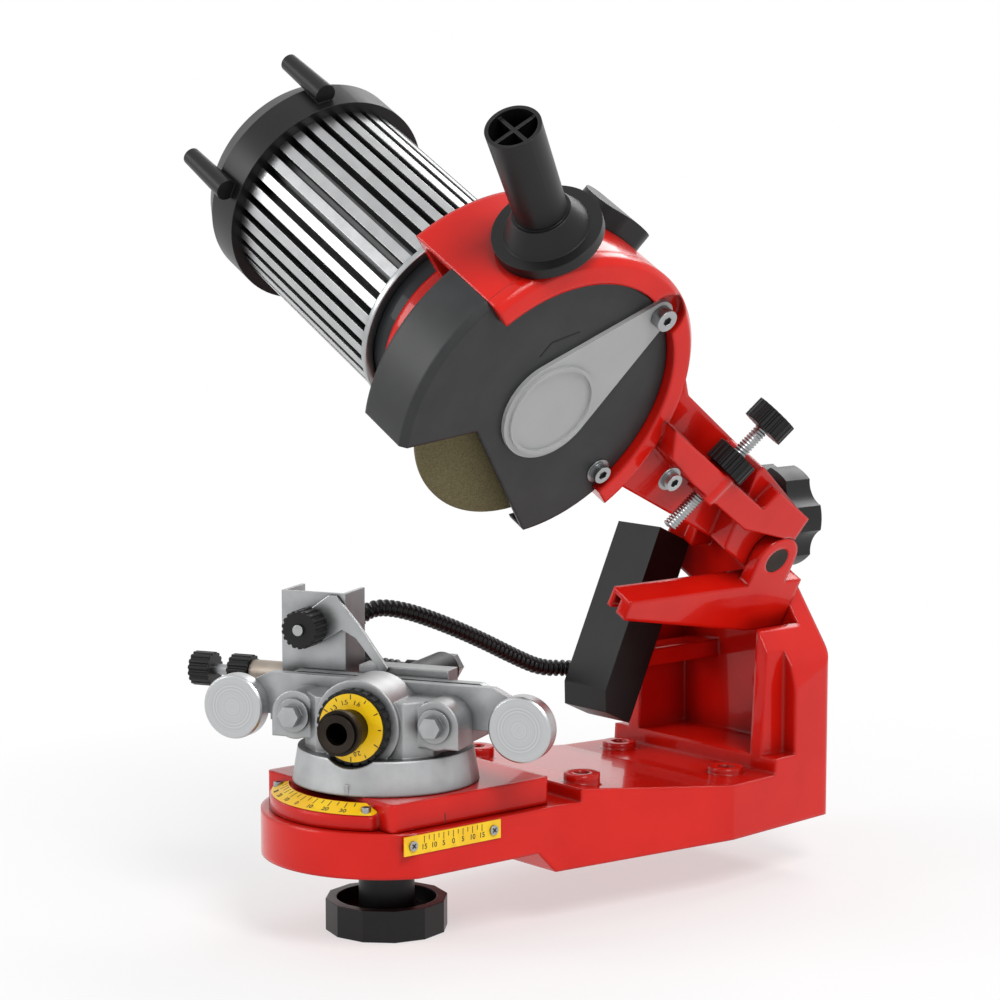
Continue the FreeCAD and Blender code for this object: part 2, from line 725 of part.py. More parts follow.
def slave():
    """Clamping cylinder behind the rear jaw, its end nut and its hose elbow."""
    start = dim.jaw_deep
    place = (slave_side, start, dim.slave_height)
    node(turned([
        (0, 0), (dim.slave_radius, 0), (dim.slave_radius, dim.slave_long - dim.cast_wall),
        (dim.slave_radius - dim.cast_wall / 2, dim.slave_long), (0, dim.slave_long)], place, "y"),
        "slave_cylinder", vise_frame)
    end = start + dim.slave_long
    node(prism(HEX, dim.slave_radius - dim.sheet, dim.cast_wall, (slave_side, end, dim.slave_height), "y"),
         "slave_nut", vise_frame)
    elbow = rod(elbow_radius, dim.slave_radius + elbow_long,
                (slave_side, elbow_ahead, dim.slave_height), "-x")
    node(cut(elbow, rod(dim.slave_radius, dim.slave_long, place, "y")), "hose_elbow", vise_frame)


def dial():
    """Gauge dial: yellow ring, black grip and hollow hub, turning together."""
    face = dial_face + dim.run_gap
    at = (0, -face, dim.dial_height)
    grip = fluted(dim.knurl_radius, dim.cast_wall, DIAL_FLUTES, hair, at, "-y")
    node(cut(grip, rod(dim.hub_radius, dim.cast_wall, at, "-y")), "dial_grip", vise_frame)
    ring_at = (0, -face - dim.cast_wall, dim.dial_height)
    node(tube(dim.dial_radius, dim.hub_radius, dim.scale_thick, ring_at, "-y"), "dial_ring", vise_frame)
    hub_start = jaw_front + dim.cast_wall + dim.run_gap
    hub_end = face + dim.cast_wall + dim.dial_radius
    node(tube(dim.hub_radius, dim.hub_bore, hub_end - hub_start, (0, -hub_start, dim.dial_height), "-y"),
         "dial_hub", vise_frame)
    clip_at = (0, -hub_end + dim.cast_wall, dim.dial_height)
    node(tube(dim.collar_radius, dim.hub_radius, 2 * dim.sheet, clip_at, "-y"), "dial_collar", vise_frame)


# Chain stop

def stop_bracket():
    middle = -dim.stop_left + dim.stop_wide / 2
    shelf = dim.jaw_top - dim.jaw_deep + dim.run_gap
    centre = stop_front + dim.stop_deep / 2
    bore = dim.thread_radius + dim.fit_gap
    outer = box((dim.stop_wide, dim.stop_deep, dim.stop_top - shelf), (middle, centre, shelf))
    inner = box((dim.stop_wide - 2 * dim.sheet, dim.stop_deep, dim.stop_top),
                (middle, centre + dim.sheet, dim.jaw_top))
    pin_hole = rod(bore, dim.stop_deep, (-dim.pawl_reach, stop_front - dim.sheet, dim.pawl_height), "y")
    screw_hole = rod(bore, dim.stop_wide, (-dim.stop_left, adjust_ahead, dim.adjust_height), "x")
    node(cut(outer, inner, pin_hole, screw_hole), "stop_bracket", vise_frame)
    node(tube(2 * dim.thread_radius + hair, bore, bush_long,
              (-dim.stop_left, adjust_ahead, dim.adjust_height), "-x"), "stop_bush", vise_frame)


def pawl():
    """Pawl lever whose tip holds the chain tooth, with its knob and pin."""
    x, z = -dim.pawl_reach, dim.pawl_height
    low = dim.jaw_top + hair
    lever = pad("XZ_Plane", [
        (x - dim.pawl_knob_radius, z - dim.sheet), (x, z - dim.pawl_knob_radius),
        (x / 2, low + 2 * dim.cast_wall),
        (-dim.cast_wall, low), (-dim.sheet, low + dim.sheet), (x / 2, z - dim.sheet),
        (x + dim.sheet, z + dim.pawl_knob_radius), (x - dim.cast_wall, z + dim.pawl_knob_radius)],
        dim.sheet, at=(0, stop_front - dim.run_gap, 0))
    front = stop_front - dim.run_gap - dim.sheet
    hole = rod(dim.thread_radius, dim.stop_deep, (x, 0, z), "y")
    node(cut(lever, hole), "pawl_lever", vise_frame)
    knob_long = front + dim.cast_wall
    knob = fluted(dim.pawl_knob_radius, knob_long, PAWL_FLUTES, hair, (x, front, z), "-y")
    node(cut(knob, rod(dim.thread_radius, knob_long, (x, front, z), "-y")), "pawl_knob", vise_frame)
    node(rod(dim.thread_radius, knob_long + dim.cast_wall + dim.sheet,
             (x, front + dim.cast_wall, z), "-y"), "pawl_pin", vise_frame)


def adjuster():
    """Stop adjusting screw with its end knob, and the lock knob on it."""
    start = -dim.stop_left + dim.stop_wide / 2
    knob_long = 2 * dim.cast_wall
    reach = dim.stop_left + bush_long + 2 * knob_long + 2 * adjust_travel
    at = (-reach, adjust_ahead, dim.adjust_height)
    node(rod(dim.thread_radius, reach + start, at, "x"), "adjust_screw", vise_frame)
    knob = fluted(dim.adjust_radius, knob_long, ADJUST_FLUTES, hair, at, "x")
    node(cut(knob, rod(dim.thread_radius, knob_long, at, "x")), "adjust_knob", vise_frame)
    lock_at = (-dim.stop_left - bush_long - dim.run_gap - knob_long, adjust_ahead, dim.adjust_height)
    lock = fluted(dim.adjust_radius, knob_long, ADJUST_FLUTES, hair, lock_at, "x")
    lock = cut(lock, rod(dim.thread_radius + dim.fit_gap, knob_long, lock_at, "x"))
    node(lock, "adjust_lock_knob", vise_frame)


# Pump, in a frame that leans with its box

def pump_outside():
    half = dim.pump_deep / 2
    return pad("YZ_Plane", [
        (-half, 2 * dim.cast_wall), (-half + dim.cast_wall, 0), (half, 0), (half, dim.pump_long),
        (-half, dim.pump_long)], dim.pump_wide, at=(-dim.pump_wide / 2, 0, 0))


def pump():
    cell = box((dim.pump_wide - 2 * dim.pump_wall, dim.pump_deep - 2 * dim.pump_wall, dim.pump_long),
               (0, 0, pump_floor))
    node(cut(pump_outside(), cell), "pump_box", pump_frame)
    cylinder_long = dim.pump_long - pump_floor - 3 * dim.cast_wall
    outer = dim.pump_deep / 2 - dim.pump_wall - dim.sheet
    cylinder = tube(outer, dim.stud_radius + dim.fit_gap, cylinder_long, (0, 0, pump_floor))
    node(cylinder, "pump_cylinder", pump_frame)
    plunger = rod(dim.stud_radius, cylinder_long, (0, 0, pump_floor + 2 * dim.cast_wall))
    cap = rod(outer, dim.cast_wall / 2, (0, 0, pump_floor + 2 * dim.cast_wall + cylinder_long))
    node(fuse(plunger, cap), "pump_plunger", pump_frame)


# Head: X runs along the spindle, Y to the rear and Z away from the vise

def tilt_bracket():
    inner = dim.ear_outer - dim.ear_thick
    far = dim.ear_outer - 2 * dim.ear_thick - arm_wide
    pin = (pin_ahead, dim.pin_rise)
    rear = head_face - dim.run_gap
    side = pad("YZ_Plane", [
        (channel_tip, channel_top), (pin[0] + dim.ear_radius, channel_top), (rear, channel_top),
        (rear, web_low), (pin[0], web_low), (channel_tip, channel_top - 2 * dim.cast_wall)],
        dim.ear_thick, at=(inner, 0, 0))
    near_ear = rod(dim.ear_radius, dim.ear_thick, (inner, pin[0], pin[1]), "x")
    near_neck = box((dim.ear_thick, 2 * dim.ear_radius, pin[1] - channel_top),
                    (inner + dim.ear_thick / 2, pin[0], channel_top))
    far_ear = rod(dim.ear_radius, dim.ear_thick, (far, pin[0], pin[1]), "x")
    neck_low = channel_top - dim.cast_wall
    far_neck = box((dim.ear_thick, 2 * dim.ear_radius, pin[1] - neck_low),
                   (far + dim.ear_thick / 2, pin[0], neck_low))
    anvil = box((dim.channel_wide, pin[0] - channel_tip, dim.cast_wall / 2),
                (dim.ear_outer - dim.channel_wide / 2, (pin[0] + channel_tip) / 2,
                 channel_top - dim.cast_wall / 2))
    lip = pad("YZ_Plane", [
        (channel_tip, channel_top), (pin[0], channel_top), (pin[0], web_low + dim.cast_wall),
        (channel_tip, channel_top - 2 * dim.cast_wall)],
        dim.cast_wall / 2, at=(dim.ear_outer - dim.channel_wide, 0, 0))
    bridge_wide = dim.ear_outer + dim.tilt_boss
    bridge = box((bridge_wide, rear - pin[0], channel_top - web_low),
                 (dim.ear_outer - bridge_wide / 2, (rear + pin[0]) / 2, web_low))
    plate = rod(dim.tilt_boss, dim.tilt_plate, (0, rear - dim.tilt_plate, 0), "y")
    pin_hole = rod(dim.pin_radius, 2 * dim.ear_outer, (far - dim.ear_outer / 2, pin[0], pin[1]), "x")
    stud_hole = rod(dim.stud_radius, dim.tilt_plate, (0, rear - dim.tilt_plate, 0), "y")
    whole = fuse(side, near_ear, near_neck, far_ear, far_neck, anvil, lip, bridge, plate)
    node(cut(whole, pin_hole, stud_hole), "tilt_bracket", head_frame)
    node(rod(dim.pin_radius, dim.ear_outer - far, (far, pin[0], pin[1]), "x"), "pivot_pin", head_frame)


def tilt_lock():
    """Lobed knob behind the column and the stud that it tightens on."""
    rear = head_face - dim.run_gap
    start = dim.tail_ahead + dim.vise_reach + dim.run_gap
    end = start + dim.sheet + dim.tilt_knob_thick
    stud = rod(dim.stud_radius, end - rear + dim.tilt_plate - dim.sheet, (0, rear - dim.tilt_plate, 0), "y")
    node(stud, "tilt_stud", head_frame)
    hub = rod(dim.stem_radius, dim.sheet, (0, start, 0), "y")
    lobes = fluted(dim.tilt_knob_radius, dim.tilt_knob_thick, TILT_LOBES, dim.stem_radius,
                   (0, start + dim.sheet, 0), "y", dim.stem_radius - LOBE_DEEP)
    hole = rod(dim.stud_radius + dim.fit_gap, dim.tilt_knob_thick, (0, start, 0), "y")
    node(cut(fuse(hub, lobes), hole), "tilt_knob", head_frame)


def half_space(sign):
    """Half of the head's side view, cut by the line from upper left to lower right."""
    far = 3 * dim.housing_radius
    y, z = dim.wheel_ahead, dim.wheel_rise
    deep = dim.guard_face - dim.housing_back + dim.lip_rise + dim.cast_wall
    return pad("YZ_Plane", [(y - far, z + far), (y + far, z - far), (y + sign * far, z + sign * far)],
               deep, at=(dim.housing_back - dim.cast_wall, 0, 0))


def on_axis(radius, length, start):
    return rod(radius, length, (start, dim.wheel_ahead, dim.wheel_rise), "x")


def rimmed(radius, back, front, edge):
    """A drum on the spindle axis whose front rim is bevelled."""
    return fuse(on_axis(radius, front - edge - back, back),
                taper(radius, radius - edge, edge, (front - edge, dim.wheel_ahead, dim.wheel_rise), "x"))


def arm_casting():
    inner = dim.ear_outer - dim.ear_thick - dim.arm_gap
    narrow = arm_wide - 2 * dim.arm_gap
    pin = (pin_ahead, dim.pin_rise)
    heel = (pin[0] - dim.beam_back, pin[1] + dim.beam_lift)
    wheel = (dim.wheel_ahead, dim.wheel_rise)
    tail = pad("YZ_Plane", [
        (pin[0] - dim.tail_long, pin[1] + dim.cast_wall),
        (pin[0] - 2 * dim.cast_wall, pin[1] - 1.5 * dim.cast_wall),
        (pin[0] + dim.ear_radius, pin[1] - dim.ear_radius / 2),
        (pin[0] + dim.ear_radius + dim.sheet, pin[1] + 4 * dim.cast_wall),
        (pin[0] - dim.tail_long, pin[1] + dim.tail_high)],
        narrow, at=(inner - narrow, 0, 0), softened=dim.cast_round / 2)
    knuckle = rod(dim.ear_radius, narrow, (inner - narrow, pin[0], pin[1]), "x")
    beam = pad("YZ_Plane", [
        (wheel[0] + dim.beam_front, wheel[1] - dim.beam_drop), (heel[0] - 2 * dim.cast_wall, heel[1]), heel,
        (heel[0], heel[1] + dim.heel_high), (heel[0] - dim.knee_back, heel[1] + dim.knee_high),
        (wheel[0] + dim.housing_radius, wheel[1] + dim.beam_crown),
        (wheel[0] + dim.flange_radius, wheel[1] + dim.flange_radius)],
        dim.beam_rib - dim.housing_back, at=(dim.housing_back, 0, 0), softened=dim.cast_round)
    start = pin[0] - dim.ledge_long
    step = pin[0] - 2 * dim.ear_radius
    tail_end = pin[0] + 2 * dim.cast_wall
    low_start = start + 5 * dim.cast_wall
    low_end = step - dim.ear_thick

    def ledge_top(ahead):
        return pin[1] + dim.ledge_high - dim.ledge_fall * (ahead - start)

    web = pad("YZ_Plane", [
        (wheel[0] + dim.beam_front, wheel[1] - dim.beam_drop), (heel[0] - 2 * dim.cast_wall, heel[1]), heel,
        (heel[0], ledge_top(heel[0])), (start, ledge_top(start)),
        (wheel[0] + dim.flange_radius, wheel[1] + dim.flange_radius)],
        beam_side - dim.housing_back, at=(dim.housing_back, 0, 0))
    ledge = pad("YZ_Plane", [
        (start, ledge_top(start)), (start + dim.cast_wall, ledge_top(low_start)),
        (low_start, ledge_top(low_start) - dim.ledge_deep), (low_end, ledge_top(low_end) - dim.ledge_deep),
        (pin[0] + dim.ear_radius / 2, pin[1] + dim.ear_radius - dim.sheet),
        (tail_end, ledge_top(tail_end) + dim.tail_step),
        (step + dim.ear_thick, ledge_top(step + dim.ear_thick) + dim.tail_step), (step, ledge_top(step))],
        dim.ear_outer - dim.beam_rib, at=(dim.beam_rib, 0, 0))
    ear_room = rod(dim.ear_radius + dim.arm_gap, dim.ear_thick + 2 * dim.arm_gap,
                   (inner, pin[0], pin[1]), "x")
    ledge = cut(ledge, ear_room)
    drum = rimmed(dim.housing_radius, dim.housing_back, dim.guard_face, dim.cast_wall / 2)
    drum = common(drum, half_space(1))
    socket = put(rod(dim.handle_radius + dim.sheet, 3 * dim.cast_wall, (0, 0, 0)),
                 handle_foot(-3 * dim.cast_wall), HANDLE_TURN)
    hollow = fuse(on_axis(dim.housing_radius - dim.housing_wall, dim.guard_face - dim.housing_back,
                          dim.housing_back + dim.housing_wall),
                  on_axis(dim.housing_radius, dim.guard_wide, dim.guard_face))
    flange = common(cut(on_axis(dim.housing_radius - dim.housing_wall, dim.cast_wall, flange_back),
                        on_axis(dim.motor_radius, dim.cast_wall, flange_back)), half_space(1))
    lip_back = flange_back + dim.cast_wall
    lip_room = dim.guard_face + dim.lip_rise - lip_back
    lip = cut(common(rimmed(dim.housing_radius, lip_back, dim.guard_face + dim.lip_rise, dim.cast_wall / 2),
                     half_space(1)),
              on_axis(plate_radius + dim.arm_gap, lip_room, lip_back),
              rod(2 * (dim.cast_wall + hair), dim.lip_rise, (dim.guard_face, *cover_bolt), "x"))
    adapter = on_axis(dim.ring_radius + dim.sheet, 2 * dim.cast_wall, dim.housing_back - dim.cast_wall)
    spindle_hole = on_axis(dim.spindle_radius + dim.fit_gap, 6 * dim.cast_wall,
                           dim.housing_back - 2 * dim.cast_wall)
    pin_hole = rod(dim.pin_radius + dim.fit_gap, 2 * dim.ear_outer, (-dim.ear_outer, pin[0], pin[1]), "x")
    screw_boss = put(rod(2 * dim.depth_radius + hair, screw_boss_long, (0, 0, 0)),
                     depth_point(screw_boss_start), DEPTH_TURN)
    screw_hole = put(rod(dim.depth_radius + dim.fit_gap, dim.depth_long, (0, 0, 0)),
                     depth_point(0), DEPTH_TURN)
    shell = cut(fuse(drum, beam, web, socket), hollow)
    whole = fuse(shell, flange, lip, adapter, tail, knuckle, ledge, screw_boss)
    node(cut(whole, spindle_hole, pin_hole, screw_hole), "arm_casting", head_frame)


def wheel_guard():
    """Black guard: a front plate in the housing and a deep wrap round the open side."""
    y, z = dim.wheel_ahead, dim.wheel_rise
    front = dim.guard_face - dim.guard_wall
    plate = fuse(on_axis(plate_radius, dim.guard_wall, front),
                 common(on_axis(guard_radius, dim.guard_wall, front), half_space(-1)))
    wrap_back = dim.guard_face - dim.guard_wide - dim.cast_wall
    wrap = cut(rimmed(dim.housing_radius, wrap_back, dim.guard_face, dim.cast_wall / 2),
               on_axis(dim.housing_radius - dim.guard_wall, front - wrap_back, wrap_back))
    apex = (y - notch_inset, z - notch_drop)
    far = 3 * dim.housing_radius
    lobe_room = box((far, far, far), (dim.guard_face, apex[0] + far / 2, apex[1] - far))
    rim_deep = 2 * dim.cast_wall
    rim = cut(on_axis(guard_radius, rim_deep, dim.guard_face - rim_deep),
              on_axis(guard_radius - dim.guard_wall, rim_deep, dim.guard_face - rim_deep))
    rim = common(rim, half_space(-1), lobe_room)
    wrap = cut(common(wrap, half_space(-1)), lobe_room)
    low, high = math.radians(notch_end), math.radians(notch_start)
    notch = pad("YZ_Plane", [
        apex, (apex[0] + far * math.cos(high), apex[1] + far * math.sin(high)),
        (apex[0] - far, apex[1] - far),
        (apex[0] + far * math.cos(low), apex[1] + far * math.sin(low))],
        2 * dim.guard_wide, at=(wrap_back - dim.cast_wall, 0, 0))
    hole = on_axis(dim.cover_ring - 2 * dim.cast_wall, 2 * dim.guard_wall, front - dim.guard_wall)
    node(cut(fuse(plate, wrap, rim), notch, hole), "wheel_guard", head_frame)


def socket_screw(label, y, z, start):
    size = dim.cast_wall - hair
    head = cut(rod(size, size, (start, y, z), "x"),
               prism(HEX, dim.screw_radius, dim.screw_radius, (start + size - dim.screw_radius, y, z), "x"))
    washer = rod(dim.cast_wall + hair, dim.scale_thick, (start, y, z), "x")
    node(fuse(head, washer), label, head_frame)


def cover():
    """Clear teardrop cover over the spindle end, swinging on its bolt."""
    start = dim.guard_face + dim.run_gap
    centre = Vector(dim.wheel_ahead, dim.wheel_rise, 0)
    bolt = Vector(*cover_bolt, 0)
    reach = bolt - centre
    big, small = dim.cover_ring + dim.cast_wall / 2, dim.cast_wall + dim.sheet
    lean = math.acos((big - small) / reach.Length)
    base = math.atan2(reach.y, reach.x)
    corners = []
    for spot, radius, sign in ((centre, big, -1), (bolt, small, -1), (bolt, small, 1), (centre, big, 1)):
        angle = base + sign * lean
        corners.append((spot.x + radius * math.cos(angle), spot.y + radius * math.sin(angle)))
    web = pad("YZ_Plane", corners, dim.cover_thick, at=(start, 0, 0))
    plate = fuse(web, on_axis(big, dim.cover_thick, start),
                 rod(small, dim.cover_thick, (start, *cover_bolt), "x"))
    rim = cut(on_axis(dim.cover_ring, dim.sheet, start + dim.cover_thick - dim.run_gap),
              on_axis(dim.cover_ring - dim.sheet, dim.sheet, start + dim.cover_thick - dim.run_gap))
    hole = rod(dim.screw_radius + dim.fit_gap, dim.cover_thick, (start, *cover_bolt), "x")
    node(cut(fuse(plate, rim), hole), "clear_cover", head_frame)
    pivot = rod(dim.screw_radius, dim.cover_thick + 2 * dim.run_gap, (dim.guard_face, *cover_bolt), "x")
    seat = start + dim.cover_thick + dim.run_gap
    socket = prism(HEX, dim.screw_radius, dim.screw_radius,
                   (seat + dim.cast_wall - dim.screw_radius, *cover_bolt), "x")
    head = cut(rod(dim.cast_wall, dim.cast_wall, (seat, *cover_bolt), "x"), socket)
    node(fuse(pivot, head), "cover_bolt", head_frame)


def motor():
    """Finned motor body with its front ring and its end cap."""
    back = dim.motor_front - dim.motor_long
    front = dim.housing_back - dim.cast_wall
    node(on_axis(dim.ring_radius, front - dim.motor_front, dim.motor_front), "motor_ring", head_frame)
    body = [on_axis(dim.motor_core, dim.motor_long, back)]
    for y, z, angle in around(dim.fin_count, 0):
        fin_deep = dim.motor_radius - dim.motor_core + hair
        fin = box((fin_deep, dim.fin_thick, dim.motor_long), (dim.motor_radius - fin_deep / 2, 0, 0))
        turn = TURN["x"].multiply(Rotation(Vector(0, 0, 1), angle))
        body.append(carry(fin, Placement(Vector(back, dim.wheel_ahead, dim.wheel_rise), turn)))
    node(fuse(*body), "motor_body", head_frame)
    cap = turned([
        (0, 0), (dim.cap_radius, 0), (dim.cap_radius, dim.cap_long / 2),
        (dim.cap_radius - dim.cast_wall, dim.cap_long - 1.5 * dim.cast_wall),
        (dim.cap_radius - 3 * dim.cast_wall, dim.cap_long), (0, dim.cap_long)],
        (back, dim.wheel_ahead, dim.wheel_rise), "-x")
    pegs = [taper(dim.cast_wall, dim.cast_wall - hair, dim.cap_long - 2 * dim.sheet,
                  (back - dim.cast_wall, *off_axis(dim.cap_radius + 2 * dim.sheet, angle)), "-x")
            for angle in lug_angles]
    node(fuse(cap, *pegs), "motor_cap", head_frame)


def handle():
    """Pull handle with its round hand stop and its hollow ribbed end."""
    stop = rod(dim.flange_radius, dim.cast_wall, (0, 0, 0))
    grip = taper(dim.handle_radius - hair, dim.handle_radius, dim.handle_long, (0, 0, 0))
    hollow = rod(dim.handle_radius - dim.sheet, dim.handle_long / 3, (0, 0, dim.handle_long * 2 / 3))
    ribs = [box(size, (0, 0, dim.handle_long * 2 / 3)) for size in (
        (2 * dim.handle_radius - dim.sheet, dim.sheet, dim.handle_long / 3 - dim.sheet),
        (dim.sheet, 2 * dim.handle_radius - dim.sheet, dim.handle_long / 3 - dim.sheet))]
    root = taper(dim.flange_radius - dim.cast_wall, dim.handle_radius + hair, 2 * dim.cast_wall,
                 (0, 0, dim.cast_wall))
    made = fuse(cut(fuse(stop, root, grip), hollow), *ribs)
    node(put(made, handle_foot(0), HANDLE_TURN), "handle", head_frame)


def switch_cover():
    """Rounded black cover on top of the housing, behind the handle."""
    foot = dim.housing_radius - dim.sheet
    wide, long = dim.switch_wide / 2, dim.switch_long / 2
    block = pad("XY_Plane", [(-wide, -long), (wide, -long), (wide, long), (-wide, long)],
                2 * dim.switch_high, softened=2 * dim.cast_round)
    block.Placement = Placement(Vector(dim.switch_plane, *off_axis(foot, switch_angle)),
                                Rotation(Vector(1, 0, 0), switch_angle - 90))
    span = 4 * dim.housing_radius
    crown = on_axis(dim.housing_radius + dim.switch_high, span, -span / 2)
    seat = on_axis(dim.housing_radius, span, -span / 2)
    node(cut(common(block, crown), seat), "switch_cover", head_frame)


def grinding_wheel():
    start = dim.wheel_plane - dim.wheel_thick / 2
    edge = dim.wheel_thick / 3
    wheel = turned([
        (dim.spindle_radius, 0), (dim.wheel_radius - edge, 0), (dim.wheel_radius, edge),
        (dim.wheel_radius, dim.wheel_thick - edge), (dim.wheel_radius - edge, dim.wheel_thick),
        (dim.spindle_radius, dim.wheel_thick)], (start, dim.wheel_ahead, dim.wheel_rise), "x")
    node(wheel, "grinding_wheel", head_frame)
    back = dim.housing_back - dim.cast_wall + dim.run_gap
    end = start + dim.wheel_thick
    collars = [on_axis(dim.dial_radius, dim.sheet, place) for place in (start - dim.sheet, end)]
    nut = prism(HEX, dim.spindle_radius + dim.sheet, dim.sheet,
                (end + dim.sheet, dim.wheel_ahead, dim.wheel_rise), "x")
    shaft = on_axis(dim.spindle_radius, end + dim.sheet - back, back)
    node(fuse(shaft, nut, *collars), "spindle", head_frame)


def depth_stop():
    """Depth screw through the arm, with its knob and its lock knob."""
    screw = put(rod(dim.depth_radius, dim.depth_long, (0, 0, 0)), depth_point(0), DEPTH_TURN)
    node(screw, "depth_screw", head_frame)
    knob_long = 2 * dim.cast_wall
    lock_start = screw_boss_start + screw_boss_long + dim.run_gap
    for label, start, bore in (("depth_knob", dim.depth_long - knob_long, dim.depth_radius),
                               ("depth_lock_knob", lock_start, dim.depth_radius + dim.fit_gap)):
        knob = fluted(dim.depth_knob_radius, knob_long, DEPTH_FLUTES, hair, (0, 0, 0))
        knob = cut(knob, rod(bore, knob_long, (0, 0, 0)))
        node(put(knob, depth_point(start), DEPTH_TURN), label, head_frame)


# Hydraulic hose from the clamping cylinder to the pump

def hose_route():
    """Route points, from the elbow behind the vise up, over and down to the pump box."""
    start = vise_frame.multVec(Vector(
        slave_side - dim.slave_radius - elbow_long, elbow_ahead, dim.slave_height))
    away = vise_frame.Rotation.multVec(Vector(-1, 0, 0))
    end = pump_frame.multVec(Vector(-dim.pump_wide / 2, -dim.sheet, hose_port))
    bends = [Vector(*point) for point in HOSE_BENDS]
    straight = HOSE_LEAD * dim.hose_radius
    return [start, start + away * straight, *bends, end - Vector(straight, 0, 0), end]


def hose_edges(points):
    """Straight runs joined by tangent arcs as large as the runs allow."""
    edges = []
    radii = []
    last = points[0]
    for before, corner, after in zip(points, points[1:], points[2:]):
        into, out = corner - before, after - corner
        reach = BEND_SHARE * min(into.Length, out.Length)
        turn = into.getAngle(out)
        radii.append(round(reach / math.tan(turn / 2), 1))
        into.normalize()
        out.normalize()
        first, second = corner - into * reach, corner + out * reach
        inward = (out - into).normalize()
        depth = reach / math.tan(turn / 2) * (1 / math.cos(turn / 2) - 1)
        if (first - last).Length > 1e-6:
            edges.append(Part.LineSegment(last, first).toShape())
        edges.append(Part.Arc(first, corner + inward * depth, second).toShape())
        last = second
    edges.append(Part.LineSegment(last, points[-1]).toShape())
    print("hose radii", radii)
    return edges


def hose_ring(edges, along, radius, side):
    """A circle square to the route, with its X axis carried on from the one before."""
    for edge in edges:
        if along <= edge.Length or edge is edges[-1]:
            break
        along -= edge.Length
    spot = edge.getParameterByLength(min(along, edge.Length))
    ahead = edge.tangentAt(spot)
    side = (side - ahead * side.dot(ahead)).normalize()
    ring = Part.Wire(Part.Circle(Vector(), Vector(0, 0, 1), radius).toShape())
    ring.Placement = Placement(edge.valueAt(spot), Rotation(side, ahead.cross(side), ahead, "ZXY"))
    return ring, side


def hose_loft(edges, stations):
    side = Vector(0, 0, 1)
    rings = []
    for along, radius in stations:
        ring, side = hose_ring(edges, along, radius, side)
        rings.append(ring)
    return Part.makeLoft(rings, True, True)


def hose():
    edges = hose_edges(hose_route())
    length = sum(edge.Length for edge in edges)
    print("hose length", round(length, 1))
    lead = 2 * dim.hose_radius
    pitch = (length - 2 * lead) / HOSE_RIBS
    stations = [(0, dim.hose_radius)]
    for rib in range(HOSE_RIBS):
        for share, radius in RIB_STEPS:
            stations.append((lead + pitch * (rib + share), dim.hose_radius * radius))
    stations += [(length - lead, dim.hose_radius), (length, dim.hose_radius)]
    skin = hose_loft(edges, stations)
    inside = stations[::len(RIB_STEPS)] + stations[-1:]
    bore = hose_loft(edges, [(along, dim.hose_radius * HOSE_BORE) for along, radius in inside])
    made = doc.addObject("Part::Feature", "hose")
    made.Shape = skin.cut(bore)
    node(made, "hydraulic_hose")


base_casting()
side_scale()
saddle()
clamp()
vise_body()
vise_pieces()
slave()
dial()
stop_bracket()
pawl()
adjuster()
pump()
tilt_bracket()
tilt_lock()
arm_casting()
wheel_guard()
socket_screw("guard_screw", *guard_screw, dim.guard_face)
socket_screw("arm_screw", *arm_screw, dim.ear_outer)
cover()
motor()
handle()
switch_cover()
grinding_wheel()
depth_stop()
hose()

doc.recompute()
failed = [item.Name for item in doc.Objects if {"Invalid", "Error"} & set(item.State)]
if failed:
    raise RuntimeError(f"failed objects: {failed}")
os.makedirs("parts", exist_ok=True)
for item in nodes:
    if item.Shape.isNull() or not item.Shape.isValid():
        raise RuntimeError(f"bad shape: {item.Label}")
    item.Shape.exportStep(f"parts/{item.Label}.step")
    print(item.Label, round(item.Shape.Volume / 1000, 1), "cm3", len(item.Shape.Solids), "solids")
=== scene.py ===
# %% [markdown]
# # A saw chain bench grinder, dressed in Blender
# The CAD frame brings every rigid piece with its true size and place, in metres. This lesson gives
# each piece the finish it has on the real machine, and adds what a solid modeller leaves out: the
# ribbed hose, the screw threads and the printed scales. We start by loading the frame and keeping
# its box, which later sets the height of the floor.

import json
import math
from bisect import bisect_right

import bmesh
import bpy
from mathutils import Matrix, Vector


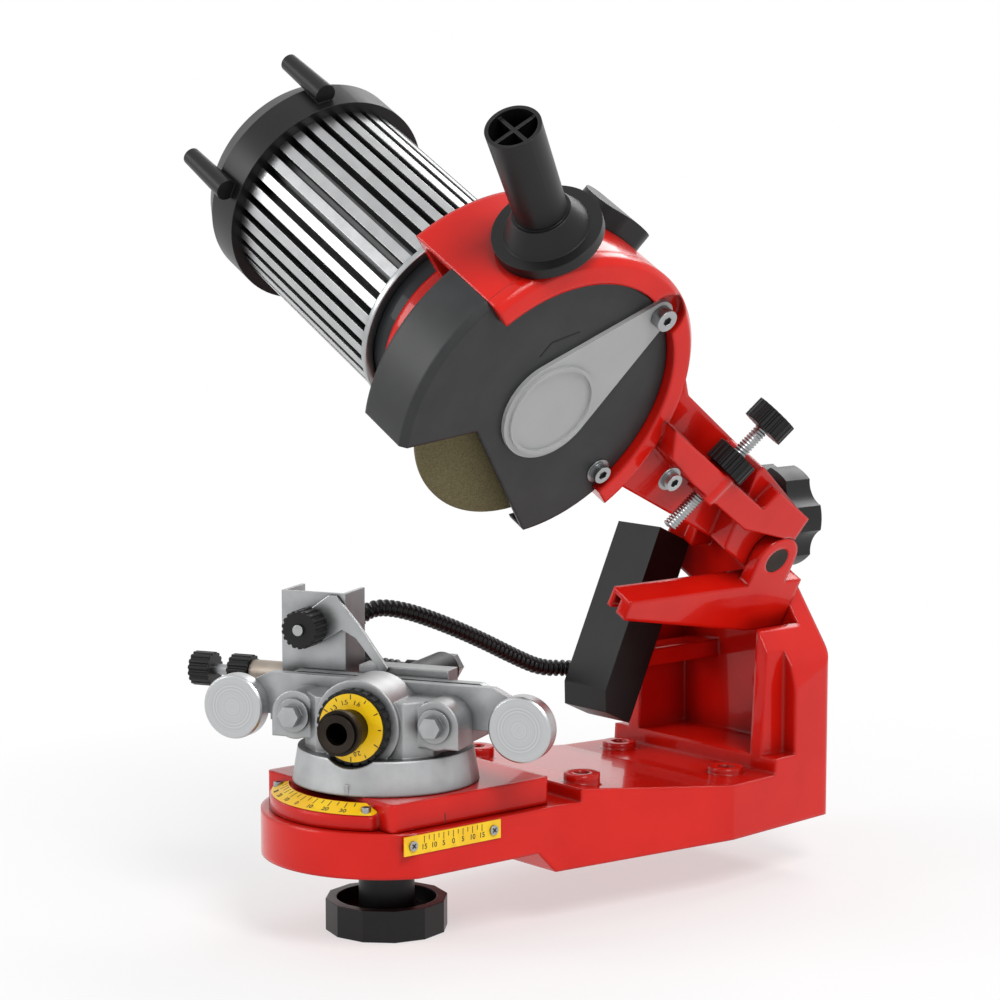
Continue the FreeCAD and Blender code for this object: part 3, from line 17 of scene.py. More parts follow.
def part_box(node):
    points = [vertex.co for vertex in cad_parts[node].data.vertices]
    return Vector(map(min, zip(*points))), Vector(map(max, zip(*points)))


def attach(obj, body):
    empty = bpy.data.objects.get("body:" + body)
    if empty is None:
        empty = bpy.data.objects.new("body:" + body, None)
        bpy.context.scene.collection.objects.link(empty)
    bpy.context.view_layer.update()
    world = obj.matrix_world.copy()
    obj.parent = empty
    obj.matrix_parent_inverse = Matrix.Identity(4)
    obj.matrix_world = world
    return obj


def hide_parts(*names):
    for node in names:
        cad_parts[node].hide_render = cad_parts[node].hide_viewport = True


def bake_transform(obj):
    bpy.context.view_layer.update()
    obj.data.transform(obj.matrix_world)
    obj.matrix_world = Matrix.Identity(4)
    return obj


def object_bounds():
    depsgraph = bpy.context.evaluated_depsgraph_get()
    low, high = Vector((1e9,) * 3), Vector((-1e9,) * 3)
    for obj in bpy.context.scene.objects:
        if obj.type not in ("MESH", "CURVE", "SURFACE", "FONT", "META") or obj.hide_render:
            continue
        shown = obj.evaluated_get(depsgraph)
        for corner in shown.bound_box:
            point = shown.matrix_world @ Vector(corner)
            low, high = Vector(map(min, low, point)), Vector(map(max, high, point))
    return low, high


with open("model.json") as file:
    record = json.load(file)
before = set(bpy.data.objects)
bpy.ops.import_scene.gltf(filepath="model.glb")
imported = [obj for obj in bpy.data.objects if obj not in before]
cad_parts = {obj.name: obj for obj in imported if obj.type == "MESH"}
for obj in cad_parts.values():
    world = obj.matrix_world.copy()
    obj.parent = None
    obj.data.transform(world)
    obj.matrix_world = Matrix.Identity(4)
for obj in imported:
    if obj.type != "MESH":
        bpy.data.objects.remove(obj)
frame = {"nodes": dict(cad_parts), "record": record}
cad_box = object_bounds()
MM = 0.001
nodes = frame["nodes"]
joints = {joint["name"]: joint for joint in frame["record"]["behaviour"]["joints"]}
print("pieces in the frame:", len(nodes))

# %% [markdown]
# ## The camera
# A picture only matches when the camera does. This one stands about 1.6 m away at the right front
# corner, turned 50 degrees from the front and looking 7 degrees down, with a long lens so that the
# edges hardly converge. The three axes of the camera are written into a matrix, which is exact
# where a row of angles would be easy to mix up.

# %% Camera
CAMERA_SPOT = (1.1638, -1.0520, 0.3805)
SENSOR_MM, LENS_MM = 36.0, 100.8
turn, dip = math.radians(50.0), math.radians(7.0)
ahead = Vector((-math.sin(turn) * math.cos(dip), math.cos(turn) * math.cos(dip), -math.sin(dip)))
right = Vector((math.cos(turn), math.sin(turn), 0.0))
upward = right.cross(ahead)
lens = bpy.data.cameras.new("studio_camera")
lens.sensor_width = SENSOR_MM
lens.lens = LENS_MM
camera = bpy.data.objects.new("studio_camera", lens)
axes = Matrix((right, upward, -ahead)).transposed().to_4x4()
camera.matrix_world = Matrix.Translation(CAMERA_SPOT) @ axes
bpy.context.collection.objects.link(camera)
bpy.context.scene.camera = camera
print("camera looks along", tuple(round(part, 3) for part in ahead))

# %% [markdown]
# ## Tools for finishes
# Colours are written as the hex values that a paint chart or a photograph gives, which are sRGB.
# Shaders work in linear light, so one function converts them. A second function adds a node, sets
# its inputs and links them, which keeps each recipe below short enough to read like a list.

# %% Colour and node helpers
def linear(code):
    """A hex colour as red, green, blue and alpha in linear light."""
    parts = [int(code[at:at + 2], 16) / 255 for at in (1, 3, 5)]
    return [part / 12.92 if part <= 0.04045 else ((part + 0.055) / 1.055) ** 2.4
            for part in parts] + [1.0]


def add(tree, kind, settings=None, **inputs):
    """Adds a node. Settings are its own fields, inputs are values or outputs of other nodes."""
    made = tree.nodes.new(kind)
    for field, value in (settings or {}).items():
        setattr(made, field, value)
    for key, value in inputs.items():
        socket = made.inputs[int(key[1:]) if key[1:].isdigit() else key.replace("_", " ")]
        if isinstance(value, bpy.types.NodeSocket):
            tree.links.new(value, socket)
        else:
            socket.default_value = value
    return made


def start(name):
    """A new material with its shader and the object's own coordinates."""
    made = bpy.data.materials.new(name)
    made.use_nodes = True
    tree = made.node_tree
    shader = tree.nodes["Principled BSDF"]
    place = add(tree, "ShaderNodeTexCoord").outputs["Object"]
    return made, tree, shader, place


def waves_per_metre(size_mm):
    """Texture scale for a pattern of that size."""
    return 1.0 / (size_mm * MM)


def shades(tree, factor, *stops):
    """Colours along a ramp, from pairs of a position and a hex value."""
    ramp = add(tree, "ShaderNodeValToRGB", Fac=factor)
    marks = ramp.color_ramp.elements
    while len(marks) < len(stops):
        marks.new(0.5)
    for mark, (position, code) in zip(marks, stops):
        mark.position = position
        mark.color = linear(code)
    return ramp.outputs["Color"]


def span(tree, value, low, high):
    """A value from 0 to 1 brought to the range from low to high."""
    made = add(tree, "ShaderNodeMapRange", Value=value, To_Min=low, To_Max=high)
    return made.outputs["Result"]


def deepened(tree, colour, reach_mm, dark):
    """A colour darkened by painted shade in inner corners, where an ambient occlusion mask finds
    them.
    """
    corner = add(tree, "ShaderNodeAmbientOcclusion", {"samples": 6}, Distance=reach_mm * MM)
    return add(tree, "ShaderNodeMix", {"data_type": "RGBA"}, _0=corner.outputs["AO"],
               _6=linear(dark), _7=colour).outputs[2]


print("a mid grey is", round(linear("#808080")[0], 3), "in linear light")

# %% [markdown]
# ## Red enamel on cast aluminium
# The base, the saddle, the bracket and the arm are die castings under a thick gloss enamel. Enamel
# flows while it bakes: it leaves a very shallow orange-peel about 6 mm wide, rounds every edge, and
# lies a little deeper in some places than in others. A thin clear coat over the colour gives the two
# reflections of a painted surface, and a Bevel node rounds the shading of the sharp CAD edges.

# %% Red enamel
PEEL_MM, CLOUD_MM, EDGE_MM, CORNER_SHADE_MM = 6.0, 45.0, 3.2, 16.0


def make_enamel(name, deep, bright, corner, gloss, coat):
    made, tree, shader, place = start(name)
    peel = add(tree, "ShaderNodeTexNoise", Vector=place, Scale=waves_per_metre(PEEL_MM), Detail=1.0)
    cloud = add(tree, "ShaderNodeTexNoise", Vector=place, Scale=waves_per_metre(CLOUD_MM),
                Detail=3.0)
    edge = add(tree, "ShaderNodeBevel", {"samples": 8}, Radius=EDGE_MM * MM)
    bump = add(tree, "ShaderNodeBump", Strength=0.03, Distance=0.2 * MM,
               Height=peel.outputs["Fac"], Normal=edge.outputs["Normal"])
    colour = shades(tree, cloud.outputs["Fac"], (0.3, deep), (0.7, bright))
    # Painted shade: the enamel's colour darkens to its corner colour in inner corners.
    tree.links.new(deepened(tree, colour, CORNER_SHADE_MM, corner), shader.inputs["Base Color"])
    tree.links.new(bump.outputs["Normal"], shader.inputs["Normal"])
    tree.links.new(bump.outputs["Normal"], shader.inputs["Coat Normal"])
    rough = span(tree, cloud.outputs["Fac"], gloss, gloss + 0.08)
    tree.links.new(rough, shader.inputs["Roughness"])
    shader.inputs["Specular IOR Level"].default_value = 0.1
    shader.inputs["Coat Weight"].default_value = coat
    shader.inputs["Coat Roughness"].default_value = 0.03
    return made


# The third colour of each enamel is its painted shade in inner corners.
red_enamel = make_enamel("red_gloss_enamel", "#C8140B", "#D61C10", "#640502", 0.16, 0.32)
motor_enamel = make_enamel("dark_grey_satin_enamel", "#26282A", "#303235", "#0C0C0D", 0.4, 0.1)
print("made", red_enamel.name, "and", motor_enamel.name)

# %% [markdown]
# ## Black moulded plastic
# Knobs, handle, guard and caps are glass-filled nylon from a spark-eroded mould. The mould leaves
# a fine leathery grain. It is really about 0.2 mm, too fine for this picture, so it is drawn at
# 0.6 mm. Handled plastic polishes unevenly, which a slow noise puts into the roughness.

# %% Black plastics
POLISH_MM = 18.0


def make_moulded(name, dark, light, rough, grain_mm, grain, edge_mm=0.7):
    made, tree, shader, place = start(name)
    grit = add(tree, "ShaderNodeTexNoise", Vector=place, Scale=waves_per_metre(grain_mm),
               Detail=2.0)
    wear = add(tree, "ShaderNodeTexNoise", Vector=place, Scale=waves_per_metre(POLISH_MM),
               Detail=4.0)
    edge = add(tree, "ShaderNodeBevel", {"samples": 6}, Radius=edge_mm * MM)
    bump = add(tree, "ShaderNodeBump", Strength=grain, Distance=0.12 * MM,
               Height=grit.outputs["Fac"], Normal=edge.outputs["Normal"])
    colour = shades(tree, wear.outputs["Fac"], (0.3, dark), (0.75, light))
    tree.links.new(colour, shader.inputs["Base Color"])
    tree.links.new(bump.outputs["Normal"], shader.inputs["Normal"])
    polish = span(tree, wear.outputs["Fac"], rough, rough + 0.14)
    tree.links.new(polish, shader.inputs["Roughness"])
    shader.inputs["Specular IOR Level"].default_value = 0.3
    return made


black_nylon = make_moulded("black_moulded_nylon", "#0A0A0B", "#101112", 0.3, 0.6, 0.08)
# Painted sheen: the guard's nylon is lighter than that of the knobs, standing in for the broad sheen
# on its wrap.
guard_nylon = make_moulded("black_guard_nylon", "#262728", "#303132", 0.36, 0.6, 0.08,
                           edge_mm=2.4)
hose_nylon = make_moulded("black_corrugated_nylon", "#0B0B0C", "#141516", 0.26, 0.8, 0.05,
                          edge_mm=0.2)
print("made", black_nylon.name, guard_nylon.name, "and", hose_nylon.name)

# %% [markdown]
# ## Metals
# Five metals show: the blasted die casting of the vise, the extruded motor body, zinc plated
# steel, the bare oiled steel of a bush, and the dark oiled steel of the hub and pin. Each is a full
# metal whose colour is what it reflects. What tells them apart is the size of the roughness: a
# blasted skin has a 1 mm grain, and plating is smooth with faint clouds. A picture of metal lives on
# its dark places, so shade is painted into the colour of the inner corners.

# %% Metals
STAIN_MM, SHADE_MM = 12.0, 9.0


def make_metal(name, dark, light, rough, grain_mm, grain, corner="#4C4C4D", edge_mm=0.5):
    made, tree, shader, place = start(name)
    grit = add(tree, "ShaderNodeTexNoise", Vector=place, Scale=waves_per_metre(grain_mm),
               Detail=3.0)
    cloud = add(tree, "ShaderNodeTexNoise", Vector=place, Scale=waves_per_metre(STAIN_MM),
                Detail=4.0)
    edge = add(tree, "ShaderNodeBevel", {"samples": 6}, Radius=edge_mm * MM)
    bump = add(tree, "ShaderNodeBump", Strength=grain, Distance=0.15 * MM,
               Height=grit.outputs["Fac"], Normal=edge.outputs["Normal"])
    colour = shades(tree, cloud.outputs["Fac"], (0.3, dark), (0.7, light))
    # Painted shade: the metal's colour darkens to its corner colour in inner corners.
    tree.links.new(deepened(tree, colour, SHADE_MM, corner), shader.inputs["Base Color"])
    tree.links.new(bump.outputs["Normal"], shader.inputs["Normal"])
    skin = span(tree, grit.outputs["Fac"], rough, rough + 0.16)
    tree.links.new(skin, shader.inputs["Roughness"])
    shader.inputs["Metallic"].default_value = 1.0
    return made


# The corner colours are painted shade in inner corners; metals without one use the default.
cast_aluminium = make_metal("blasted_cast_aluminium", "#A2A3A4", "#B0B1B2", 0.36, 1.1, 0.16,
                            edge_mm=1.6)
fin_aluminium = make_metal("extruded_aluminium", "#AEAFB0", "#BCBDBE", 0.26, 3.0, 0.02,
                           corner="#3E3E3F")
zinc_steel = make_metal("zinc_plated_steel", "#9FA1A2", "#B0B2B3", 0.24, 3.0, 0.03)
warm_steel = make_metal("oiled_warm_steel", "#9C9185", "#ADA297", 0.3, 3.0, 0.03)
dark_steel = make_metal("oiled_dark_steel", "#2E2925", "#3D3631", 0.34, 1.5, 0.06,
                        corner="#100E0C")
print("made 5 metals")

# %% [markdown]
# ## Turned steel
# The two round rail ends were faced on a lathe, so their fine rings follow a circle about their own
# middle. Both are one CAD node, so the shader measures the distance to each middle and keeps the
# smaller one. Noise along that distance alone gives rings and nothing across them.

# %% Turned steel
RING_MM = 0.8


def make_turned(name, centres):
    made, tree, shader, place = start(name)
    spans = [add(tree, "ShaderNodeVectorMath", {"operation": "DISTANCE"}, _0=place, _1=centre)
             for centre in centres]
    nearest = spans[0].outputs["Value"]
    for other in spans[1:]:
        nearest = add(tree, "ShaderNodeMath", {"operation": "MINIMUM"}, _0=nearest,
                      _1=other.outputs["Value"]).outputs["Value"]
    rings = add(tree, "ShaderNodeTexNoise", {"noise_dimensions": "1D"}, W=nearest,
                Scale=waves_per_metre(RING_MM), Detail=3.0)
    edge = add(tree, "ShaderNodeBevel", {"samples": 6}, Radius=0.6 * MM)
    bump = add(tree, "ShaderNodeBump", Strength=0.08, Distance=0.1 * MM,
               Height=rings.outputs["Fac"], Normal=edge.outputs["Normal"])
    colour = shades(tree, rings.outputs["Fac"], (0.3, "#B2B4B5"), (0.7, "#C4C6C7"))
    tree.links.new(colour, shader.inputs["Base Color"])
    tree.links.new(bump.outputs["Normal"], shader.inputs["Normal"])
    tree.links.new(span(tree, rings.outputs["Fac"], 0.24, 0.4), shader.inputs["Roughness"])
    shader.inputs["Metallic"].default_value = 1.0
    return made


front = Vector(joints["dial_turn"]["axis"])
side = Vector((-front.y, front.x, 0.0))
low, high = (Vector(corner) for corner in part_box("rail_discs"))
middle = (low + high) / 2
DISC_REACH = 83.0 * MM
disc_middles = [middle + side * DISC_REACH, middle - side * DISC_REACH]
turned_steel = make_turned("turned_steel", disc_middles)
print("rings about", [tuple(round(part, 3) for part in spot) for spot in disc_middles])

# %% [markdown]
# ## Scale enamel, abrasive and clear cover
# The scales are yellow plates. The wheel is vitrified aluminium oxide: bonded grit about 0.5 mm
# across, with open pores, so it is rough all over and its colour is speckled. The cover is frosted
# polycarbonate, which lets light through and blurs what is behind it.

# %% Yellow plate, abrasive, frosted cover, ink
def make_speckled(name, dark, light, rough, grain_mm, grain):
    made, tree, shader, place = start(name)
    grit = add(tree, "ShaderNodeTexVoronoi", Vector=place, Scale=waves_per_metre(grain_mm))
    bump = add(tree, "ShaderNodeBump", Strength=grain, Distance=0.25 * MM,
               Height=grit.outputs["Distance"])
    colour = shades(tree, grit.outputs["Color"], (0.2, dark), (0.8, light))
    tree.links.new(colour, shader.inputs["Base Color"])
    tree.links.new(bump.outputs["Normal"], shader.inputs["Normal"])
    skin = span(tree, grit.outputs["Distance"], rough, rough + 0.08)
    tree.links.new(skin, shader.inputs["Roughness"])
    return made


yellow_plate = make_speckled("yellow_lacquered_plate", "#EDB800", "#F4C90A", 0.34, 9.0, 0.01)
abrasive = make_speckled("vitrified_abrasive", "#554E33", "#675F40", 0.9, 0.7, 0.3)
black_ink = make_speckled("black_printing_ink", "#101010", "#1A1A1A", 0.5, 2.0, 0.02)
HAZE_MM = 25.0
frosted, tree, shader, place = start("frosted_polycarbonate")
haze = add(tree, "ShaderNodeTexNoise", Vector=place, Scale=waves_per_metre(HAZE_MM), Detail=2.0)
pale = shades(tree, haze.outputs["Fac"], (0.3, "#C4C5C6"), (0.7, "#CACBCB"))
tree.links.new(pale, shader.inputs["Base Color"])
tree.links.new(span(tree, haze.outputs["Fac"], 0.34, 0.48), shader.inputs["Roughness"])
shader.inputs["Transmission Weight"].default_value = 0.45
shader.inputs["IOR"].default_value = 1.58
print("made", yellow_plate.name, abrasive.name, frosted.name, black_ink.name)

# %% [markdown]
# ## Dressing the CAD pieces
# Each CAD node keeps its mesh and only gets a finish in its material slot. Most follow the slot
# that the record gives them. A few share a slot and still differ to the eye, such as the finned
# motor body beside the cast vise, so they are named one by one.

# %% Give each node its finish
by_slot = {
    "red_paint": red_enamel, "black_plastic": black_nylon, "cast_aluminium": cast_aluminium,
    "motor_grey": motor_enamel, "steel": zinc_steel, "dark_steel": dark_steel,
    "scale_yellow": yellow_plate, "abrasive": abrasive, "clear_plastic": frosted,
    "hose_rubber": hose_nylon,
}
by_node = {"motor_body": fin_aluminium, "rail_discs": turned_steel, "slave_cylinder": black_nylon,
           "hose_elbow": black_nylon, "pump_cylinder": dark_steel, "pump_plunger": dark_steel,
           "wheel_guard": guard_nylon, "stop_bush": warm_steel}
for part in frame["record"]["subparts"]:
    piece = nodes[part["node"]]
    finish = by_node.get(part["node"], by_slot[part["material_slot"]])
    piece.data.materials.clear()
    piece.data.materials.append(finish)

# %% [markdown]
# ## Turning a mesh into a piece
# Each new piece is modelled in a bmesh, in metres and in the machine's own frame, so its object
# stays at the origin. One function closes the work: it welds doubled vertices, turns the normals
# outwards, gives the finish, and lets the piece ride on the body that carries it.

# %% Finish a piece
WELD = 0.001 * MM


def finish_piece(name, shape, finish, body, smooth=False):
    bmesh.ops.remove_doubles(shape, verts=shape.verts, dist=WELD)
    bmesh.ops.recalc_face_normals(shape, faces=shape.faces)
    mesh = bpy.data.meshes.new(name)
    shape.to_mesh(mesh)
    shape.free()
    mesh.materials.append(finish)
    if smooth:
        mesh.shade_smooth()
    piece = bpy.data.objects.new(name, mesh)
    bpy.context.collection.objects.link(piece)
    if body:
        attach(piece, body)
    print(name, len(mesh.polygons), "faces")
    return piece


def axes_at(spot, across, up):
    """A place whose X runs across, whose Y runs up, and whose Z faces the reader."""
    across, up = across.normalized(), up.normalized()
    turned = Matrix((across, up, across.cross(up))).transposed().to_4x4()
    return Matrix.Translation(spot) @ turned


# %% [markdown]
# ## The ribbed hose
# The oil hose runs in a corrugated nylon sleeve. Its line is a NURBS curve through the air, from the
# elbow behind the vise, round a tight fold and down to the pump. We read the points of that curve,
# spin one straight corrugated tube from its section, and then lay every ring of it on the line. The
# vise swivels under the hose, but the sleeve is fixed where it is laid and rides on no body.

# %% Hose line
ROUTE_MM = [
    (-37.9, -110.6, 99.0), (-48.5, -116.3, 99.0), (-62.0, -122.0, 101.0), (-71.0, -125.0, 110.0),
    (-72.0, -122.0, 122.0), (-69.0, -111.0, 130.0), (-66.0, -92.0, 127.0), (-66.0, -64.0, 116.5),
    (-66.0, -34.0, 103.0), (-67.0, -6.0, 89.0), (-66.0, 12.0, 81.0), (-58.0, 26.5, 80.8),
    (-46.0, 26.5, 80.8)]
route = bpy.data.curves.new("hose_line", "CURVE")
route.dimensions = "3D"
route.resolution_u = 24
line = route.splines.new("NURBS")
line.points.add(len(ROUTE_MM) - 1)
for point, place in zip(line.points, ROUTE_MM):
    point.co = (*(Vector(place) * MM), 1.0)
line.order_u = 3
line.use_endpoint_u = True
guide = bpy.data.objects.new("hose_line", route)
bpy.context.collection.objects.link(guide)
scene_graph = bpy.context.evaluated_depsgraph_get()
trail = bpy.data.meshes.new_from_object(guide.evaluated_get(scene_graph))
path = [vert.co.copy() for vert in trail.vertices]
bpy.data.objects.remove(guide)
bpy.data.meshes.remove(trail)
steps = [(after - before).length for before, after in zip(path, path[1:])]
hose_long = sum(steps)
print("hose", round(hose_long / MM, 1), "mm along", len(path), "points")

# %% Straight sleeve
HOSE_RADIUS = 4.9 * MM
RIBS, ROUND_STEPS = 58, 20
ROOT = 0.78
RIB = ((0.0, ROOT), (0.14, 0.95), (0.3, 1.0), (0.5, 1.0), (0.66, 0.95), (0.8, ROOT))
plain_end = HOSE_RADIUS
pitch = (hose_long - 2 * plain_end) / RIBS
section = [(0.0, HOSE_RADIUS * ROOT)]
section += [(plain_end + pitch * (rib + share), HOSE_RADIUS * wide)
            for rib in range(RIBS) for share, wide in RIB]
section += [(hose_long, HOSE_RADIUS * ROOT)]
shape = bmesh.new()
row = [shape.verts.new((wide, 0.0, along)) for along, wide in section]
rim = [shape.edges.new(pair) for pair in zip(row, row[1:])]
bmesh.ops.spin(shape, geom=row + rim, cent=(0, 0, 0), axis=(0, 0, 1), angle=2 * math.pi,
               steps=ROUND_STEPS, use_merge=True)
bmesh.ops.holes_fill(shape, edges=[edge for edge in shape.edges if edge.is_boundary])
print("ribs", round(pitch / MM, 2), "mm apart")

# %% Sleeve laid on the line
UP = Vector((0, 0, 1))
sides = []
aside = UP
for before, after in zip(path, path[1:]):
    forward = (after - before).normalized()
    aside = (aside - forward * aside.dot(forward)).normalized()
    sides.append((forward, aside))
marks = [0.0]
for step in steps:
    marks.append(marks[-1] + step)
for vert in shape.verts:
    leg = min(max(bisect_right(marks, vert.co.z) - 1, 0), len(sides) - 1)
    forward, aside = sides[leg]
    centre = path[leg] + forward * (vert.co.z - marks[leg])
    vert.co = centre + aside * vert.co.x + forward.cross(aside) * vert.co.y
hose = finish_piece("hose_sleeve", shape, hose_nylon, None, smooth=True)
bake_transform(hose)
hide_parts("hydraulic_hose")

# %% [markdown]
# ## Thread of the depth screw
# A thread is one V that climbs while it turns. The spin operator can do both at once: its dvec moves
# the profile along the axis at each step. The turns meet root to root, so they are welded, and a
# face closes each end. The pitch of such a screw is 1.25 mm, too fine for this picture, so it is
# drawn at 1.75 mm.

# %% Depth screw
THREAD_CREST, THREAD_ROOT, THREAD_PITCH = 4.0 * MM, 3.1 * MM, 1.75 * MM
SCREW_LONG, TURN_STEPS = 86.0 * MM, 16
thread_axis = Vector(joints["depth_slide"]["axis"])
low, high = (Vector(corner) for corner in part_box("depth_screw"))
tip = (low + high) / 2 - thread_axis * SCREW_LONG / 2
shape = bmesh.new()
tooth = [shape.verts.new((wide, 0.0, along)) for wide, along in (
    (THREAD_ROOT, 0.0), (THREAD_CREST, THREAD_PITCH * 0.4), (THREAD_CREST, THREAD_PITCH * 0.6),
    (THREAD_ROOT, THREAD_PITCH))]
flank = [shape.edges.new(pair) for pair in zip(tooth, tooth[1:])]
turns = int(SCREW_LONG / THREAD_PITCH) - 1
bmesh.ops.spin(shape, geom=tooth + flank, cent=(0, 0, 0), axis=(0, 0, 1),
               dvec=(0, 0, THREAD_PITCH / TURN_STEPS), angle=2 * math.pi * turns,
               steps=TURN_STEPS * turns)
bmesh.ops.remove_doubles(shape, verts=shape.verts, dist=0.01 * MM)
bmesh.ops.holes_fill(shape, edges=[edge for edge in shape.edges if edge.is_boundary])
aim = thread_axis.to_track_quat("Z", "Y").to_matrix().to_4x4()
bmesh.ops.transform(shape, matrix=Matrix.Translation(tip) @ aim, verts=shape.verts)
thread = finish_piece("depth_screw_thread", shape, zinc_steel, "depth", smooth=True)
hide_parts("depth_screw")

# %% [markdown]
# ## Pawl lever
# The pawl is a flat strip of plated steel: it rises beside its knob, turns a corner and runs down
# to the chain. A flat strip is one outlined face, extruded by its thickness, with broken edges. The
# CAD plate gives the thickness and the plane, and its joint gives the pivot that the outline starts
# from.

# %% Pawl strip
PAWL_MM = (
    (-6.0, 5.0), (11.0, 17.5), (15.5, 17.5), (29.0, 2.5), (33.0, -2.5), (46.0, -20.0),
    (44.0, -23.0), (41.0, -21.5), (27.0, -5.0), (19.0, -1.0), (8.0, -7.5), (0.0, -9.0),
    (-7.0, -5.0))
pivot = Vector(joints["pawl_turn"]["pos_m"])
depths = [vert.co.dot(front) for vert in nodes["pawl_lever"].data.vertices]
strip_back, strip_thick = min(depths), max(depths) - min(depths)
strip_middle = pivot + front * (strip_back - pivot.dot(front))
shape = bmesh.new()
corners = [shape.verts.new((across * MM, rise * MM, 0.0)) for across, rise in PAWL_MM]
strip = shape.faces.new(corners)
grown = bmesh.ops.extrude_face_region(shape, geom=[strip])["geom"]
raised = [part for part in grown if isinstance(part, bmesh.types.BMVert)]
bmesh.ops.translate(shape, verts=raised, vec=(0, 0, strip_thick))
bmesh.ops.bevel(shape, geom=shape.edges[:], offset=0.35 * MM, affect="EDGES", segments=2,
                profile=0.5, material=-1)
bmesh.ops.transform(shape, matrix=axes_at(strip_middle, side, UP), verts=shape.verts)
pawl = finish_piece("pawl_strip", shape, zinc_steel, "pawl")
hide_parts("pawl_lever")

# %% [markdown]
# ## Rim at the foot of the fins
# The finned body sits in a thin grey rim, which covers the ends of its fins. A rim is a ring of one
# section: four vertices, spun once about the spindle, and a small bevel that catches the light.

# %% Motor rim
spindle_axis = Vector(joints["wheel_spin"]["axis"])
spindle_middle = Vector(joints["wheel_spin"]["pos_m"])
FINS_BEHIND = 75.0 * MM
RIM_INNER, RIM_OUTER, RIM_LONG = 51.3 * MM, 56.8 * MM, 4.0 * MM
shape = bmesh.new()
corners = [shape.verts.new((wide, 0.0, along)) for wide, along in (
    (RIM_INNER, 0.0), (RIM_OUTER, 0.0), (RIM_OUTER, RIM_LONG), (RIM_INNER, RIM_LONG))]
loop = [shape.edges.new(pair) for pair in zip(corners, corners[1:] + corners[:1])]
bmesh.ops.spin(shape, geom=corners + loop, cent=(0, 0, 0), axis=(0, 0, 1), angle=2 * math.pi,
               steps=96, use_merge=True)
sharp = [edge for edge in shape.edges if edge.calc_face_angle(0.0) > math.radians(45.0)]
bmesh.ops.bevel(shape, geom=sharp, offset=0.8 * MM, affect="EDGES", segments=3, profile=0.5,
                material=-1)
aim = spindle_axis.to_track_quat("Z", "Y").to_matrix().to_4x4()
foot = Matrix.Translation(spindle_middle - spindle_axis * FINS_BEHIND)
bmesh.ops.transform(shape, matrix=foot @ aim, verts=shape.verts)
finish_piece("motor_rim", shape, zinc_steel, "arm", smooth=True)

# %% [markdown]
# ## Printed scales
# The yellow plates carry black lines and plain figures. Ink has almost no thickness: the marks here
# are 0.1 mm proud, so that they never flicker with the plate below. A figure is a text curve that is
# made into a mesh first and moved into its place afterwards. All marks of a scale share one bmesh.

# %% Marks
INK = 0.1 * MM
BOLDER = 0.01


def add_line(shape, wide, tall, where):
    """One printed line, its size in millimetres, half sunk in the plate."""
    size = Matrix.Diagonal((wide * MM, tall * MM, 2 * INK, 1.0))
    bmesh.ops.create_cube(shape, size=1.0, matrix=where @ size)


def add_figure(shape, words, tall, where):
    """A plain number, its height in millimetres, in the middle of its place."""
    letters = bpy.data.curves.new("figure", "FONT")
    letters.body = words
    letters.size = tall * MM
    letters.align_x = "CENTER"
    letters.align_y = "CENTER"
    letters.extrude = INK
    letters.offset = BOLDER * tall * MM
    holder = bpy.data.objects.new("figure", letters)
    bpy.context.collection.objects.link(holder)
    scene_graph = bpy.context.evaluated_depsgraph_get()
    mesh = bpy.data.meshes.new_from_object(holder.evaluated_get(scene_graph))
    mesh.transform(where)
    shape.from_mesh(mesh)
    bpy.data.objects.remove(holder)
    bpy.data.curves.remove(letters)
    bpy.data.meshes.remove(mesh)


print("ink stands", INK / MM, "mm proud")

# %% Side scale
LINE_STEP = 3.2 * MM
LINE_WIDE_MM, LONG_LINE_MM, SHORT_LINE_MM, LINE_DROP_MM = 0.4, 3.6, 2.4, 0.8
FIGURE_MM, FIGURE_DROP_MM = 3.9, 6.6
RIGHT = Vector((0, 1, 0))
low, high = (Vector(corner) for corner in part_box("side_scale"))
middle = Vector((high.x, (low.y + high.y) / 2, high.z))
shape = bmesh.new()
for count in range(-6, 7):
    tall = LONG_LINE_MM if count % 2 == 0 else SHORT_LINE_MM
    spot = middle + RIGHT * count * LINE_STEP - UP * (LINE_DROP_MM + tall / 2) * MM
    add_line(shape, LINE_WIDE_MM, tall, axes_at(spot, RIGHT, UP))
    if count % 2 == 0:
        spot = middle + RIGHT * count * LINE_STEP - UP * FIGURE_DROP_MM * MM
        add_figure(shape, str(abs(count) * 5 // 2), FIGURE_MM, axes_at(spot, RIGHT, UP))
finish_piece("side_scale_marks", shape, black_ink, "base")

# %% Index line of the saddle
INDEX_RISE, INDEX_WIDE_MM, INDEX_TALL_MM = 3.2 * MM, 0.5, 5.6
low, high = (Vector(corner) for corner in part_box("saddle"))
shape = bmesh.new()
spot = Vector((high.x, middle.y, low.z + INDEX_RISE))
add_line(shape, INDEX_WIDE_MM, INDEX_TALL_MM, axes_at(spot, RIGHT, UP))
finish_piece("saddle_index", shape, black_ink, "saddle")

# %% Swivel scale
vise_axis = Vector(joints["vise_turn"]["pos_m"])
BAND_IN, BAND_OUT, BAND_TOP, BAND_FALL = 52.0 * MM, 62.0 * MM, 48.8 * MM, 4.5 * MM
BAND_LINE_MM, BAND_LONG_MM, BAND_SHORT_MM, BAND_FIGURE_MM = 0.45, 4.4, 3.0, 4.0
LONG_AT, SHORT_AT, FIGURE_AT = 0.26, 0.2, 0.7
shape = bmesh.new()


def on_band(degrees, share):
    """A place on the conical plate: share 0 is its inner edge, share 1 its outer edge."""
    angle = math.radians(degrees)
    outward = Vector((math.sin(angle), -math.cos(angle), 0.0))
    along = Vector((math.cos(angle), math.sin(angle), 0.0))
    uphill = UP * BAND_FALL - outward * (BAND_OUT - BAND_IN)
    spot = Vector((vise_axis.x, vise_axis.y, BAND_TOP)) + outward * BAND_IN - uphill * share
    return axes_at(spot, along, uphill)


